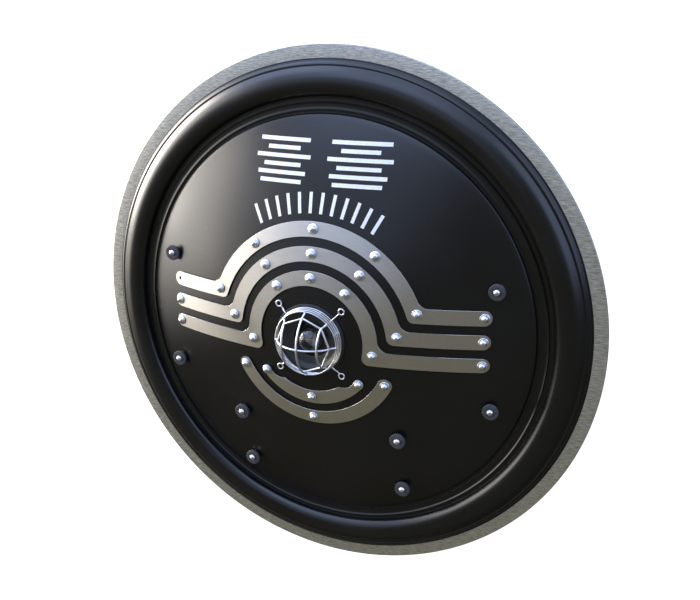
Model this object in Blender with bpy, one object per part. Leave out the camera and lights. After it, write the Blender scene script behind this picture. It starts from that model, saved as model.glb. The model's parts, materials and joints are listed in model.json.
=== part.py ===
"""Round riot shield lying on its rim, front up: a black pressed shell, steel strips and a caged lamp.

+Z points out of the front, +Y to the top edge and +X to the right-hand side as seen from the front. The
underside of the rim ring is at z = 0, and the shield's axis is the Z axis.
"""

from dataclasses import dataclass
from math import asin, atan2, cos, hypot, pi, radians, sin, sqrt

import bmesh
import bpy
from mathutils import Matrix, Vector

MM = 0.001
SEAT = 0.3 * MM          # clearance between two pieces that touch
ROUND_SIDES = 40         # sides of the shield's own circles

# The shell's lip drives the shield's size: the other circles lie at set distances inside and outside it
LIP_RADIUS = 266.9 * MM

# Rim ring
RIM_MARGIN = 14.3 * MM   # how far the ring stands out past the lip
RIM_RADIUS = LIP_RADIUS + RIM_MARGIN
RIM_WIDTH = 26.2 * MM
RIM_THICK = 3 * MM
RIM_ROUND = 0.6 * MM     # rounding of the ring's outer top edge

# Shell: heights are above the rim ring's top face
SHELL_WALL = 3 * MM
LIP_RISE = 5.4 * MM
LIP_ROUND = 3.6 * MM
LIP_WIDE = 6.1 * MM
FOOT_WIDTH = 7.4 * MM    # width of the shell's foot on the rim ring
BEAD_WIDE = 28.1 * MM
BEAD_RISE = 12.2 * MM
BEAD_OUT = LIP_RADIUS - LIP_WIDE
BEAD_OUT_RISE = 4.6 * MM
BEAD_IN = BEAD_OUT - BEAD_WIDE
BEAD_IN_RISE = 6.2 * MM  # top of the upright side between the groove and the bead
BEAD_SHAPE = ((0.09, 0.78), (0.24, 0.95), (0.51, 0.99), (0.705, 0.865), (0.865, 0.645))
ARCH_SHAPE = ((0.67, 0.89), (0.22, 0.93))
GROOVE_WIDE = 4.8 * MM   # width of the groove that divides the bead from the ledge
GROOVE_SLOPE = 0.7 * MM
GROOVE_RISE = 2.0 * MM
LEDGE_WIDE = 11.5 * MM
LEDGE_RISE = 4.0 * MM
EDGE_TURN = 2.6 * MM     # width of the dome's turn down to the ledge
LEDGE_OUT = BEAD_IN - GROOVE_WIDE - GROOVE_SLOPE
DOME_EDGE = LEDGE_OUT - LEDGE_WIDE - EDGE_TURN
DOME_EDGE_RISE = 7.7 * MM
DOME_CURVE = 493 * MM    # radius of the sphere that the dome is cut from
DOME_RISE = DOME_EDGE_RISE + DOME_CURVE - sqrt(DOME_CURVE ** 2 - DOME_EDGE ** 2)
DOME_RINGS = 5
UNDER_RINGS = 4

# Strips, all struck from the lamp's centre
LAMP_Y = -1.2 * MM       # the lamp sits this far from the shield's axis
STRIP_WIDE = 14.8 * MM
STRIP_THICK = 1.5 * MM
STRIP_PITCH = 23.9 * MM
INNER_ARC = 63.3 * MM    # middle of the innermost strip's arc
INNER_WING_Y = -13.0 * MM
WING_END_GAP = 44.6 * MM  # last screw of each wing from the dome's edge
WING_END_X = DOME_EDGE - WING_END_GAP
ELBOW_FILLET = 12 * MM
ARC_SCREW_ANGLE = radians(54.5)
LOWER_END_Y = -41.0 * MM
EYELET_CLEAR = 13.4 * MM  # relief of the lower inner strip round the guard's eyelets
ARC_STEP = 12 * MM       # length of one flat along a strip

# Strip screws
SCREW_FLANGE = 5.2 * MM
SCREW_FLANGE_THICK = 0.9 * MM
SCREW_HEAD_RISE = 4.0 * MM
SCREW_SIDES = 8
BARE_HOLE = 2.1 * MM     # radius of the hole that holds no screw

# Spacers and their through screws, which stand parallel to the shield's axis
SPACER_TALL = 6.8 * MM   # top of the disc over the dome
SPACER_DISC = 8.3 * MM
SPACER_DISC_THICK = 2.8 * MM
SPACER_NECK = 5.8 * MM
SPACER_SIDES = 10
BOLT = 2.5 * MM          # radius of a spacer screw's shank
BOLT_HEAD = 3.5 * MM
BOLT_HEAD_RISE = 2.6 * MM
BOLT_GRIP = 5.2 * MM     # how far the shank reaches below the shell
SIDE_SPACER_GAP = 34.5 * MM
SIDE_SPACER_X = DOME_EDGE - SIDE_SPACER_GAP
SIDE_SPACER_Y = (61.6 * MM, -61.9 * MM)
LOW_SPACER_X = DOME_EDGE * 0.42
LOW_SPACER_PITCH = 66 * MM
LOW_SPACER_Y = (LOW_SPACER_PITCH - DOME_EDGE * 0.793, -DOME_EDGE * 0.793)

# Lamp
LAMP_FLANGE = 37.5 * MM
LAMP_FLANGE_RISE = 0.8 * MM   # height of the flange over the top of the dome
LAMP_CUP = 33.0 * MM     # the wide cup that passes through the shell
LAMP_CUP_DEEP = 9.5 * MM
LAMP_BOWL = 31.5 * MM    # mouth of the bowl inside the cup
LAMP_BOWL_LOW = 19.5 * MM
LAMP_BOWL_DEEP = 4.5 * MM
LAMP_BARREL = 22.0 * MM  # the narrower barrel below the cup
LAMP_WALL = 2.5 * MM
LAMP_DEEP = 22 * MM      # how far the barrel hangs below the top of the dome
LAMP_SIDES = 20
BULB_RADIUS = 13.0 * MM
BULB_STEM = 5.0 * MM
BULB_SINK = 1.3 * MM     # the bulb's centre lies this far below the top of the dome

# Lamp guard
GUARD_WIRE = 1.0 * MM
COLLAR_RADIUS = 35.0 * MM
COLLAR_DEPTH = 2.2 * MM  # thickness of the collar, from its inside to the crest of a rib
COLLAR_TALL = 11.0 * MM
COLLAR_RIBS = 4
GUARD_BALL = 34.5 * MM   # radius of the ball on which the arched wires lie
GUARD_TALL = 32.0 * MM   # top of the ball over the top of the dome
CROWN_RADIUS = 28.3 * MM  # corners of the eight-sided ring
SIDE_WIRE_X = 19.0 * MM  # middle of each side wire
LEG_REACH = 48.2 * MM    # eyelet from the lamp's axis
EYELET_LIFT = 2.2 * MM   # middle of an eyelet's wire over the dome
EYELET_RADIUS = 3.0 * MM
EYELET_WIRE = 0.85 * MM
WIRE_SIDES = 5

# Back fittings
STRAP_TAB = 5.0 * MM
STRAP_THICK = 3.5 * MM
STRAP_OVER = 10 * MM     # strap beyond the middle of each end screw
STRAP_FLOOR = 1.8 * MM   # the strap's middle over the floor
STRAP_TURN = 17 * MM     # length over which a strap drops from its end to its middle
HAND_STRAP_WIDE = 34 * MM
ARM_STRAP_WIDE = 42 * MM
BOX_MARGIN_X = 11 * MM   # battery box beyond its screws
BOX_MARGIN_Y = 9.5 * MM
BOX_CORNER = 9 * MM
BOX_FLOOR = 3.5 * MM
BOX_WALL = 2.5 * MM
BOX_POST = 6.0 * MM
FACET_DIP = 0.9 * MM     # flats of the shell's underside lie up to this far inside the true sphere

DOME_TOP = RIM_THICK + DOME_RISE
DOME_CENTRE = DOME_TOP - DOME_CURVE
STRIP_HALF = STRIP_WIDE / 2
STRIP_TOP = SEAT + STRIP_THICK
BOLT_HOLE = BOLT + SEAT


# Materials

def material(name, colour, rough, metal=0.0, clear=0.0):
    made = bpy.data.materials.new(name)
    made.use_nodes = True
    shader = made.node_tree.nodes["Principled BSDF"]
    shader.inputs["Base Color"].default_value = (*colour, 1)
    shader.inputs["Roughness"].default_value = rough
    shader.inputs["Metallic"].default_value = metal
    shader.inputs["Transmission Weight"].default_value = clear
    return made


def all_materials():
    return {
        "black_shell": material("black_shell", (0.012, 0.012, 0.013), 0.32),
        "brushed_steel": material("brushed_steel", (0.55, 0.55, 0.54), 0.35, metal=1.0),
        "satin_strip": material("satin_strip", (0.58, 0.56, 0.53), 0.28, metal=1.0),
        "bright_steel": material("bright_steel", (0.82, 0.83, 0.85), 0.12, metal=1.0),
        "dark_rubber": material("dark_rubber", (0.035, 0.035, 0.038), 0.6),
        "black_plastic": material("black_plastic", (0.02, 0.02, 0.022), 0.45),
        "clear_glass": material("clear_glass", (0.9, 0.93, 0.95), 0.03, clear=1.0),
    }


# The dome

def dome_height(x, y, lift=0.0):
    """Height of the surface that lies lift outside the dome's outer face, over the plan point x, y."""
    return DOME_CENTRE + sqrt((DOME_CURVE + lift) ** 2 - x * x - y * y)


def upright_seat(x, y, lift=0.0):
    """Matrix that stands a piece upright at x, y, its origin lift above the dome."""
    return Matrix.Translation((x, y, dome_height(x, y) + lift))


def dome_seat(x, y, lift):
    """Matrix that stands a piece square to the dome at x, y, its origin lift out from it."""
    foot = Vector((x, y, dome_height(x, y)))
    normal = (foot - Vector((0, 0, DOME_CENTRE))).normalized()
    return Matrix.Translation(foot + normal * lift) @ normal.to_track_quat("Z", "Y").to_matrix().to_4x4()


# Mesh helpers

def add_object(name, bm, finish, smooth_angle=35):
    mesh = bpy.data.meshes.new(name)
    bmesh.ops.recalc_face_normals(bm, faces=bm.faces)
    bm.to_mesh(mesh)
    bm.free()
    mesh.materials.append(finish)
    mesh.shade_smooth()
    mesh.set_sharp_from_angle(angle=radians(smooth_angle))
    made = bpy.data.objects.new(name, mesh)
    bpy.context.scene.collection.objects.link(made)
    return made


def make_cutter(made):
    made.hide_render = True
    made.display_type = "WIRE"
    return made


def turned_mesh(profile, sides):
    """A closed (radius, height) profile spun round the Z axis; points at radius 0 close on the axis."""
    bm = bmesh.new()
    rings = []
    for radius, height in profile:
        if radius == 0:
            rings.append([bm.verts.new((0, 0, height))])
        else:
            turns = [2 * pi * k / sides for k in range(sides)]
            rings.append([bm.verts.new((radius * cos(a), radius * sin(a), height)) for a in turns])
    for low, high in zip(rings, rings[1:] + rings[:1]):
        if len(low) == 1 and len(high) == 1:
            continue
        for k in range(sides):
            onward = (k + 1) % sides
            corners = [low[k % len(low)], low[onward % len(low)]]
            corners += [high[onward % len(high)], high[k % len(high)]]
            bm.faces.new(list(dict.fromkeys(corners)))
    return bm


def ribbon_mesh(pairs, bottom, top):
    """A strap of quads: pairs are plan points of its two edges, bottom and top are height rules."""
    bm = bmesh.new()
    stations = []
    for left, right in pairs:
        ring = [(left, bottom), (right, bottom), (right, top), (left, top)]
        stations.append([bm.verts.new((p[0], p[1], height(p[0], p[1]))) for p, height in ring])
    bm.faces.new(stations[0])
    bm.faces.new(stations[-1])
    for back, front in zip(stations, stations[1:]):
        for k in range(4):
            bm.faces.new((back[k], back[(k + 1) % 4], front[(k + 1) % 4], front[k]))
    return bm


def wire_mesh(points, radius, sides, closed=False):
    """A round wire along points: a ring of sides corners at each point, square to the wire's own bend."""
    bm = bmesh.new()
    count = len(points)
    rings = []
    side_way = None
    for k, point in enumerate(points):
        ahead = points[(k + 1) % count] if closed or k < count - 1 else point
        behind = points[k - 1] if closed or k > 0 else point
        along = (ahead - behind).normalized()
        if side_way is None:
            side_way = along.orthogonal()
        side_way = (side_way - along * side_way.dot(along)).normalized()
        other_way = along.cross(side_way)
        turns = [2 * pi * j / sides for j in range(sides)]
        spokes = [side_way * cos(a) + other_way * sin(a) for a in turns]
        rings.append([bm.verts.new(point + radius * spoke) for spoke in spokes])
    spans = list(zip(rings, rings[1:]))
    if closed:
        spans.append((rings[-1], rings[0]))
    else:
        bm.faces.new(rings[0])
        bm.faces.new(rings[-1])
    for back, front in spans:
        shift = nearest_turn(back[0], front) if back is rings[-1] else 0
        for j in range(sides):
            a, b = front[(j + shift) % sides], front[(j + 1 + shift) % sides]
            bm.faces.new((back[j], back[(j + 1) % sides], b, a))
    return bm


def nearest_turn(corner, ring):
    gaps = [(vert.co - corner.co).length for vert in ring]
    return gaps.index(min(gaps))


def arc_points(centre, radius, start, end, count):
    step = (end - start) / (count - 1)
    turns = [start + step * k for k in range(count)]
    return [(centre[0] + radius * cos(a), centre[1] + radius * sin(a)) for a in turns]


def cut_with(target, cutters):
    for number, cutter in enumerate(cutters):
        cut = target.modifiers.new(f"cut_{number}", "BOOLEAN")
        cut.operation = "DIFFERENCE"
        cut.solver = "EXACT"
        cut.object = cutter


def drill(name, radius, depth, seat, sides=8):
    """A cutter along the seat's own Z axis, from just outside the piece to depth below the seat."""
    proud = SPACER_TALL + STRIP_TOP
    bm = turned_mesh([(0, proud), (radius, proud), (radius, -depth), (0, -depth)], sides)
    made = add_object(name, bm, None)
    made.matrix_world = seat
    return make_cutter(made)


# Rim ring

def make_rim(finish):
    inner = RIM_RADIUS - RIM_WIDTH
    bevel = RIM_ROUND
    profile = [
        (inner, 0),
        (RIM_RADIUS, 0),
        (RIM_RADIUS, RIM_THICK - bevel),
        (RIM_RADIUS - bevel, RIM_THICK),
        (inner, RIM_THICK),
    ]
    return add_object("rim_ring", turned_mesh(profile, ROUND_SIDES), finish)


# Shell

def bead_points(shape, drop):
    """Points drop below the bead's face. Each is given as shares of the bead's width, from its inner foot,
    and of its top height."""
    return [(BEAD_IN + BEAD_WIDE * across, RIM_THICK + BEAD_RISE * up - drop) for across, up in shape]


def shell_profile(hole):
    """The shell's section, from the lamp hole out over the front, and back along the underside."""
    base = RIM_THICK
    ring_step = (DOME_EDGE - hole) / DOME_RINGS
    front = [(hole + ring_step * k, dome_height(hole + ring_step * k, 0)) for k in range(DOME_RINGS + 1)]
    ledge = base + LEDGE_RISE
    front += [
        (DOME_EDGE + EDGE_TURN, (dome_height(DOME_EDGE, 0) * 2 + ledge) / 3),
        (DOME_EDGE + EDGE_TURN * 1.5, ledge),
        (LEDGE_OUT, ledge),
        (LEDGE_OUT + GROOVE_SLOPE, base + GROOVE_RISE),
        (BEAD_IN - GROOVE_SLOPE, base + GROOVE_RISE),
        (BEAD_IN, base + BEAD_IN_RISE),
    ]
    front += bead_points(BEAD_SHAPE, 0)
    front += [
        (BEAD_OUT, base + BEAD_OUT_RISE),
        (LIP_RADIUS - LIP_ROUND, base + LIP_RISE),
        (LIP_RADIUS - LIP_ROUND / 4, base + LIP_RISE - LIP_ROUND / 2),
        (LIP_RADIUS, base + SEAT),
    ]
    under_curve = DOME_CURVE - SHELL_WALL
    under_edge = DOME_EDGE - SHELL_WALL / 2
    low = base + GROOVE_RISE - SHELL_WALL * 0.9
    back = [(LIP_RADIUS - FOOT_WIDTH, base + SEAT)]
    back += bead_points(ARCH_SHAPE, SHELL_WALL)
    back += [
        (BEAD_IN + SHELL_WALL * 0.8, low),
        (DOME_EDGE + EDGE_TURN * 2, low),
        (under_edge, DOME_CENTRE + sqrt(under_curve ** 2 - under_edge ** 2)),
    ]
    under_step = (under_edge - hole) / UNDER_RINGS
    for k in range(1, UNDER_RINGS + 1):
        radius = under_edge - under_step * k
        back.append((radius, DOME_CENTRE + sqrt(under_curve ** 2 - radius ** 2)))
    return front + back


def spacer_places():
    side = [(sign * SIDE_SPACER_X, y) for y in SIDE_SPACER_Y for sign in (-1, 1)]
    low = [(sign * LOW_SPACER_X, y) for y in LOW_SPACER_Y for sign in (-1, 1)]
    return side + low


def make_shell(finish):
    hole = LAMP_CUP + abs(LAMP_Y) + SEAT
    shell = add_object("shell", turned_mesh(shell_profile(hole), ROUND_SIDES), finish)
    cutters = []
    for number, (x, y) in enumerate(spacer_places(), 1):
        cutters.append(drill(f"shell_drill_{number}", BOLT_HOLE, SHELL_WALL * 2, upright_seat(x, y)))
    cut_with(shell, cutters)
    return shell


# Strips

@dataclass
class UpperStrip:
    name: str
    arc: float            # radius of the middle of the arch
    wing_y: float         # height of the middle of the wings
    elbow_angle: float    # place of the elbow screws, round the lamp


def upper_strips():
    elbows = {"inner": -7.5, "middle": 8.3, "outer": 19.3}
    strips = []
    for number, (name, angle) in enumerate(elbows.items()):
        arc = INNER_ARC + STRIP_PITCH * number
        wing = INNER_WING_Y + STRIP_PITCH * number
        strips.append(UpperStrip(f"strip_upper_{name}", arc, wing, radians(angle)))
    return strips


def elbow_stations(strip):
    """Matching points of the elbow's outer fillet and inner corner, from the wing up to the arch."""
    outer = strip.arc + STRIP_HALF
    inner = strip.arc - STRIP_HALF
    wing_top = strip.wing_y + STRIP_HALF - LAMP_Y
    fillet_y = wing_top + ELBOW_FILLET
    fillet_x = sqrt((outer + ELBOW_FILLET) ** 2 - fillet_y ** 2)
    fillet_end = atan2(-fillet_y, -fillet_x) % (2 * pi)
    corner_y = strip.wing_y - LAMP_Y
    corner_x = sqrt((inner + STRIP_HALF) ** 2 - corner_y ** 2)
    corner_end = atan2(-corner_y, -corner_x) % (2 * pi)
    steps = 5
    over = arc_points((fillet_x, fillet_y + LAMP_Y), ELBOW_FILLET, 3 * pi / 2, fillet_end, steps)
    under = arc_points((corner_x, corner_y + LAMP_Y), STRIP_HALF, 3 * pi / 2, corner_end, steps)
    return list(zip(over, under)), fillet_end - pi, corner_end - pi


def upper_outline(strip):
    """Pairs of plan points along the strip's two edges, from its right end to the top of the arch."""
    pairs = []
    cap_steps = 4
    for k in range(1, cap_steps):
        lean = pi / 2 * k / cap_steps
        x = WING_END_X + STRIP_HALF * cos(lean)
        rise = STRIP_HALF * sin(lean)
        pairs.append(((x, strip.wing_y + rise), (x, strip.wing_y - rise)))
    elbow, outer_turn, inner_turn = elbow_stations(strip)
    wing_steps = round((WING_END_X - elbow[0][0][0]) / (1.3 * ARC_STEP))
    for k in range(wing_steps):
        part = k / wing_steps
        over_x = WING_END_X + (elbow[0][0][0] - WING_END_X) * part
        under_x = WING_END_X + (elbow[0][1][0] - WING_END_X) * part
        pairs.append(((over_x, strip.wing_y + STRIP_HALF), (under_x, strip.wing_y - STRIP_HALF)))
    pairs += elbow
    steps = round(strip.arc * (pi / 2 - outer_turn) / ARC_STEP)
    for k in range(1, steps + 1):
        part = k / steps
        outer_angle = outer_turn + (pi / 2 - outer_turn) * part
        inner_angle = inner_turn + (pi / 2 - inner_turn) * part
        outer = arc_points((0, LAMP_Y), strip.arc + STRIP_HALF, outer_angle, outer_angle + 1, 2)[0]
        inner = arc_points((0, LAMP_Y), strip.arc - STRIP_HALF, inner_angle, inner_angle + 1, 2)[0]
        pairs.append((outer, inner))
    return pairs


def whole_outline(half):
    """Adds the mirrored other half to a list of edge pairs that ends on the plane x = 0."""
    other = [((-a[0], a[1]), (-b[0], b[1])) for a, b in half[:-1]]
    return half + other[::-1]


def strip_bottom(x, y):
    return dome_height(x, y, SEAT)


def strip_top(x, y):
    return dome_height(x, y, STRIP_TOP)


def make_upper_strip(strip, finish):
    bm = ribbon_mesh(whole_outline(upper_outline(strip)), strip_bottom, strip_top)
    return add_object(strip.name, bm, finish)


def upper_screw_places(strip):
    top = [(0, strip.arc + LAMP_Y)]
    arch = [(strip.arc * cos(ARC_SCREW_ANGLE), strip.arc * sin(ARC_SCREW_ANGLE) + LAMP_Y)]
    elbow_radius = strip.arc + STRIP_HALF / 3
    elbow = [(elbow_radius * cos(strip.elbow_angle), elbow_radius * sin(strip.elbow_angle) + LAMP_Y)]
    end = [(WING_END_X, strip.wing_y)]
    right = arch + elbow + end
    return top + right + [(-x, y) for x, y in right]


def relieved_radius(angle, radius):
    """Inner edge of the lower inner strip, pushed out where it would come too near an eyelet."""
    off = angle + pi / 4
    across = LEG_REACH * sin(off)
    if abs(across) >= EYELET_CLEAR:
        return radius
    return max(radius, LEG_REACH * cos(off) + sqrt(EYELET_CLEAR ** 2 - across ** 2))


def lower_outline(arc, relieved):
    """Pairs of plan points from the strip's right end to its lowest point."""
    outer = arc + STRIP_HALF
    inner = arc - STRIP_HALF
    end_angle = asin((LOWER_END_Y - LAMP_Y) / arc)
    end_inner = relieved_radius(end_angle, inner) if relieved else inner
    middle = (outer + end_inner) / 2
    cap = (outer - end_inner) / 2
    end = Vector((middle * cos(end_angle), middle * sin(end_angle) + LAMP_Y))
    outward = Vector((cos(end_angle), sin(end_angle)))
    onward = Vector((-sin(end_angle), cos(end_angle)))
    pairs = []
    cap_steps = 4
    for k in range(1, cap_steps):
        lean = pi / 2 * k / cap_steps
        tip = end + onward * cap * cos(lean)
        pairs.append((tuple(tip + outward * cap * sin(lean)), tuple(tip - outward * cap * sin(lean))))
    steps = round(arc * (pi / 2 + end_angle) / ARC_STEP * (1.5 if relieved else 1))
    for k in range(steps + 1):
        angle = end_angle + (-pi / 2 - end_angle) * k / steps
        near = relieved_radius(angle, inner) if relieved else inner
        ends = [(r * cos(angle), r * sin(angle) + LAMP_Y) for r in (outer, near)]
        pairs.append(tuple(ends))
    return pairs, (end.x, end.y)


def make_lower_strip(name, arc, relieved, finish):
    pairs, end = lower_outline(arc, relieved)
    add_object(name, ribbon_mesh(whole_outline(pairs), strip_bottom, strip_top), finish)
    return [(0, LAMP_Y - arc), end, (-end[0], end[1])]


# Screws and spacers

def strip_screw_profile():
    return [
        (0, SCREW_HEAD_RISE),
        (SCREW_FLANGE, SCREW_FLANGE_THICK),
        (SCREW_FLANGE, 0),
        (0, 0),
    ]


def spacer_screw_profile():
    length = SPACER_TALL + SEAT + SHELL_WALL + BOLT_GRIP
    return [
        (0, BOLT_HEAD_RISE),
        (BOLT_HEAD * 0.8, BOLT_HEAD_RISE * 0.75),
        (BOLT_HEAD, 0),
        (BOLT, 0),
        (BOLT, -length),
        (0, -length),
    ]


def make_strip_screws(places, finish):
    first = add_object("strip_screw_01", turned_mesh(strip_screw_profile(), SCREW_SIDES), finish)
    first.matrix_world = dome_seat(*places[0], STRIP_TOP + SEAT)
    for number, place in enumerate(places[1:], 2):
        copy = bpy.data.objects.new(f"strip_screw_{number:02d}", first.data)
        bpy.context.scene.collection.objects.link(copy)
        copy.matrix_world = dome_seat(*place, STRIP_TOP + SEAT)


def spacer_mesh(x, y):
    """A flat disc on a neck whose foot is cut to the slope of the dome at x, y."""
    profile = [
        (BOLT_HOLE, 0),
        (SPACER_NECK, 0),
        (SPACER_NECK, SPACER_TALL - SPACER_DISC_THICK),
        (SPACER_DISC, SPACER_TALL - SPACER_DISC_THICK),
        (SPACER_DISC, SPACER_TALL),
        (BOLT_HOLE, SPACER_TALL),
    ]
    bm = turned_mesh(profile, SPACER_SIDES)
    for vert in bm.verts:
        if vert.co.z == 0:
            vert.co.z = dome_height(x + vert.co.x, y + vert.co.y, SEAT) - dome_height(x, y)
    return bm


def make_spacers(rubber, bright):
    for number, (x, y) in enumerate(spacer_places(), 1):
        spacer = add_object(f"spacer_{number}", spacer_mesh(x, y), rubber)
        spacer.matrix_world = upright_seat(x, y)
        turned = turned_mesh(spacer_screw_profile(), SCREW_SIDES)
        screw = add_object(f"spacer_screw_{number}", turned, bright)
        screw.matrix_world = upright_seat(x, y, SPACER_TALL + SEAT)


# Lamp

def make_lamp_base(finish):
    top = DOME_TOP + LAMP_FLANGE_RISE
    bottom = DOME_TOP - LAMP_DEEP
    cup_foot = DOME_TOP - LAMP_CUP_DEEP
    bore = LAMP_BOWL_LOW - LAMP_WALL / 2
    profile = [
        (0, bottom),
        (LAMP_BARREL, bottom),
        (LAMP_BARREL, cup_foot),
        (LAMP_CUP, cup_foot + LAMP_WALL),
        (LAMP_CUP, dome_height(LAMP_CUP - abs(LAMP_Y), 0) + SEAT),
        (LAMP_FLANGE, dome_height(LAMP_FLANGE - abs(LAMP_Y), 0) + SEAT),
        (LAMP_FLANGE, top - SEAT),
        (LAMP_FLANGE - LAMP_WALL / 2, top),
        (LAMP_BOWL, top),
        (LAMP_BOWL_LOW, top - LAMP_BOWL_DEEP),
        (bore, top - LAMP_BOWL_DEEP - LAMP_WALL / 2),
        (bore, bottom + LAMP_WALL),
        (0, bottom + LAMP_WALL),
    ]
    made = add_object("lamp_base", turned_mesh(profile, LAMP_SIDES), finish)
    made.location.y = LAMP_Y
    return made


def make_bulb(finish):
    centre = DOME_TOP - BULB_SINK
    foot = DOME_TOP - LAMP_DEEP + LAMP_WALL + SEAT
    neck = asin(BULB_STEM / BULB_RADIUS)
    parts = 5
    turns = [pi * k / parts for k in range(parts)] + [pi - neck]
    profile = [(BULB_RADIUS * sin(a), centre + BULB_RADIUS * cos(a)) for a in turns]
    profile[0] = (0, centre + BULB_RADIUS)
    profile += [(BULB_STEM, foot), (0, foot)]
    made = add_object("lamp_bulb", turned_mesh(profile, LAMP_SIDES // 2), finish)
    made.location.y = LAMP_Y
    return made


# Lamp guard

def collar_base():
    return DOME_TOP + LAMP_FLANGE_RISE + SEAT


def collar_profile():
    base = collar_base()
    rib = COLLAR_TALL / COLLAR_RIBS
    inside = COLLAR_RADIUS - COLLAR_DEPTH
    groove = COLLAR_RADIUS - GUARD_WIRE * 0.7
    profile = [(inside, base), (groove, base)]
    for k in range(COLLAR_RIBS):
        profile.append((COLLAR_RADIUS, base + rib * (k + 0.5)))
        profile.append((groove, base + rib * (k + 1)))
    return profile + [(inside, base + COLLAR_TALL)]


def guard_point(x, y, drop=0.0):
    """The point of the guard's ball, or of the collar's top, over a plan point from the lamp's axis."""
    middle = DOME_TOP + GUARD_TALL - GUARD_BALL
    on_ball = middle + sqrt(max(0, GUARD_BALL ** 2 - x * x - y * y))
    return Vector((x, y, max(on_ball - drop, collar_base() + COLLAR_TALL - GUARD_WIRE * 1.5)))


def arched_wires():
    """The four wires over the lamp: one across, one up the middle, and one up each side."""
    reach = COLLAR_RADIUS - COLLAR_DEPTH / 2
    shares = (-1, -0.92, -0.75, -0.4, 0, 0.4, 0.75, 0.92, 1)
    wires = [[guard_point(reach * k, 0, 1.4 * GUARD_WIRE) for k in shares]]
    wires.append([guard_point(0, reach * k) for k in shares])
    corner = CROWN_RADIUS * cos(pi / 4)
    collar = reach * cos(pi / 4)
    upper = [(collar, collar), (corner, corner), (SIDE_WIRE_X, corner / 2), (SIDE_WIRE_X, 0)]
    plan = upper + [(x, -y) for x, y in upper[-2::-1]]
    for side in (-1, 1):
        wires.append([guard_point(side * x, y) for x, y in plan])
    return wires


def leg_wires():
    """Each leg as its wire from the collar out to the dome, and its eyelet."""
    collar = COLLAR_RADIUS - COLLAR_DEPTH / 2
    foot = collar_base() + 1.6 * GUARD_WIRE
    turns = [pi / 4 * k for k in range(8)]
    wires = []
    for sx, sy in ((-1, -1), (-1, 1), (1, -1), (1, 1)):
        out = Vector((sx, sy, 0)).normalized()
        eye = out * LEG_REACH
        seat_z = dome_height(eye.x, eye.y + LAMP_Y) + EYELET_LIFT
        knee = out * (LAMP_FLANGE + GUARD_WIRE) + Vector((0, 0, foot))
        near = out * (LEG_REACH - EYELET_RADIUS) + Vector((0, 0, seat_z))
        wires.append(([out * collar + Vector((0, 0, foot)), knee, near], False))
        ring = [Vector((EYELET_RADIUS * cos(a), EYELET_RADIUS * sin(a), seat_z)) for a in turns]
        wires.append(([eye + point for point in ring], True))
    return wires


def guard_wires():
    """Every wire of the guard as (points, radius, closed), measured from the lamp's axis."""
    turns = [pi / 4 * k for k in range(8)]
    crown = [guard_point(CROWN_RADIUS * cos(a), CROWN_RADIUS * sin(a), GUARD_WIRE) for a in turns]
    wires = [(crown, GUARD_WIRE, True)]
    wires += [(points, GUARD_WIRE, False) for points in arched_wires()]
    wires += [(points, EYELET_WIRE, closed) for points, closed in leg_wires()]
    return wires


def make_guard(finish):
    guard = add_object("lamp_guard", turned_mesh(collar_profile(), LAMP_SIDES), finish)
    guard.location.y = LAMP_Y
    pieces = bpy.data.collections.new("guard_wires")
    bpy.context.scene.collection.children.link(pieces)
    for number, (points, radius, closed) in enumerate(guard_wires(), 1):
        wire = add_object(f"guard_wire_{number}", wire_mesh(points, radius, WIRE_SIDES, closed), None)
        bpy.context.scene.collection.objects.unlink(wire)
        pieces.objects.link(make_cutter(wire))
        wire.location.y = LAMP_Y
    weld = guard.modifiers.new("welded", "BOOLEAN")
    weld.operation = "UNION"
    weld.solver = "EXACT"
    weld.operand_type = "COLLECTION"
    weld.collection = pieces
    return guard


# Back fittings

def shell_underside(x, y):
    return DOME_CENTRE + sqrt((DOME_CURVE - SHELL_WALL - FACET_DIP) ** 2 - x * x - y * y)


def strap_drop(y, top_y, low_y):
    """0 on the strap's two ends, 1 along its low middle, with a smooth change between."""
    inside = min(top_y - STRAP_OVER - y, y - low_y - STRAP_OVER)
    share = min(1, max(0, inside / STRAP_TURN))
    return share * share * (3 - 2 * share)


def make_strap(name, side, wide, finish):
    top_y, low_y = SIDE_SPACER_Y
    stations = 14
    start, end = top_y + STRAP_OVER, low_y - STRAP_OVER
    floor = STRAP_FLOOR + STRAP_THICK

    def top(x, y):
        drop = strap_drop(y, top_y, low_y)
        return shell_underside(x, y) * (1 - drop) + floor * drop

    def bottom(x, y):
        drop = strap_drop(y, top_y, low_y)
        return top(x, y) - STRAP_TAB + (STRAP_TAB - STRAP_THICK) * drop

    pairs = []
    for k in range(stations + 1):
        y = start + (end - start) * k / stations
        end_round = min(y - end, start - y)
        half = wide / 2 - (wide / 6 if end_round == 0 else 0)
        pairs.append(((side * SIDE_SPACER_X - half, y), (side * SIDE_SPACER_X + half, y)))
    strap = add_object(name, ribbon_mesh(pairs, bottom, top), finish)
    cutters = []
    for number, y in enumerate(SIDE_SPACER_Y, 1):
        seat = upright_seat(side * SIDE_SPACER_X, y)
        cutters.append(drill(f"{name}_drill_{number}", BOLT_HOLE, 4 * SHELL_WALL, seat))
    cut_with(strap, cutters)
    return strap


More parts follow.
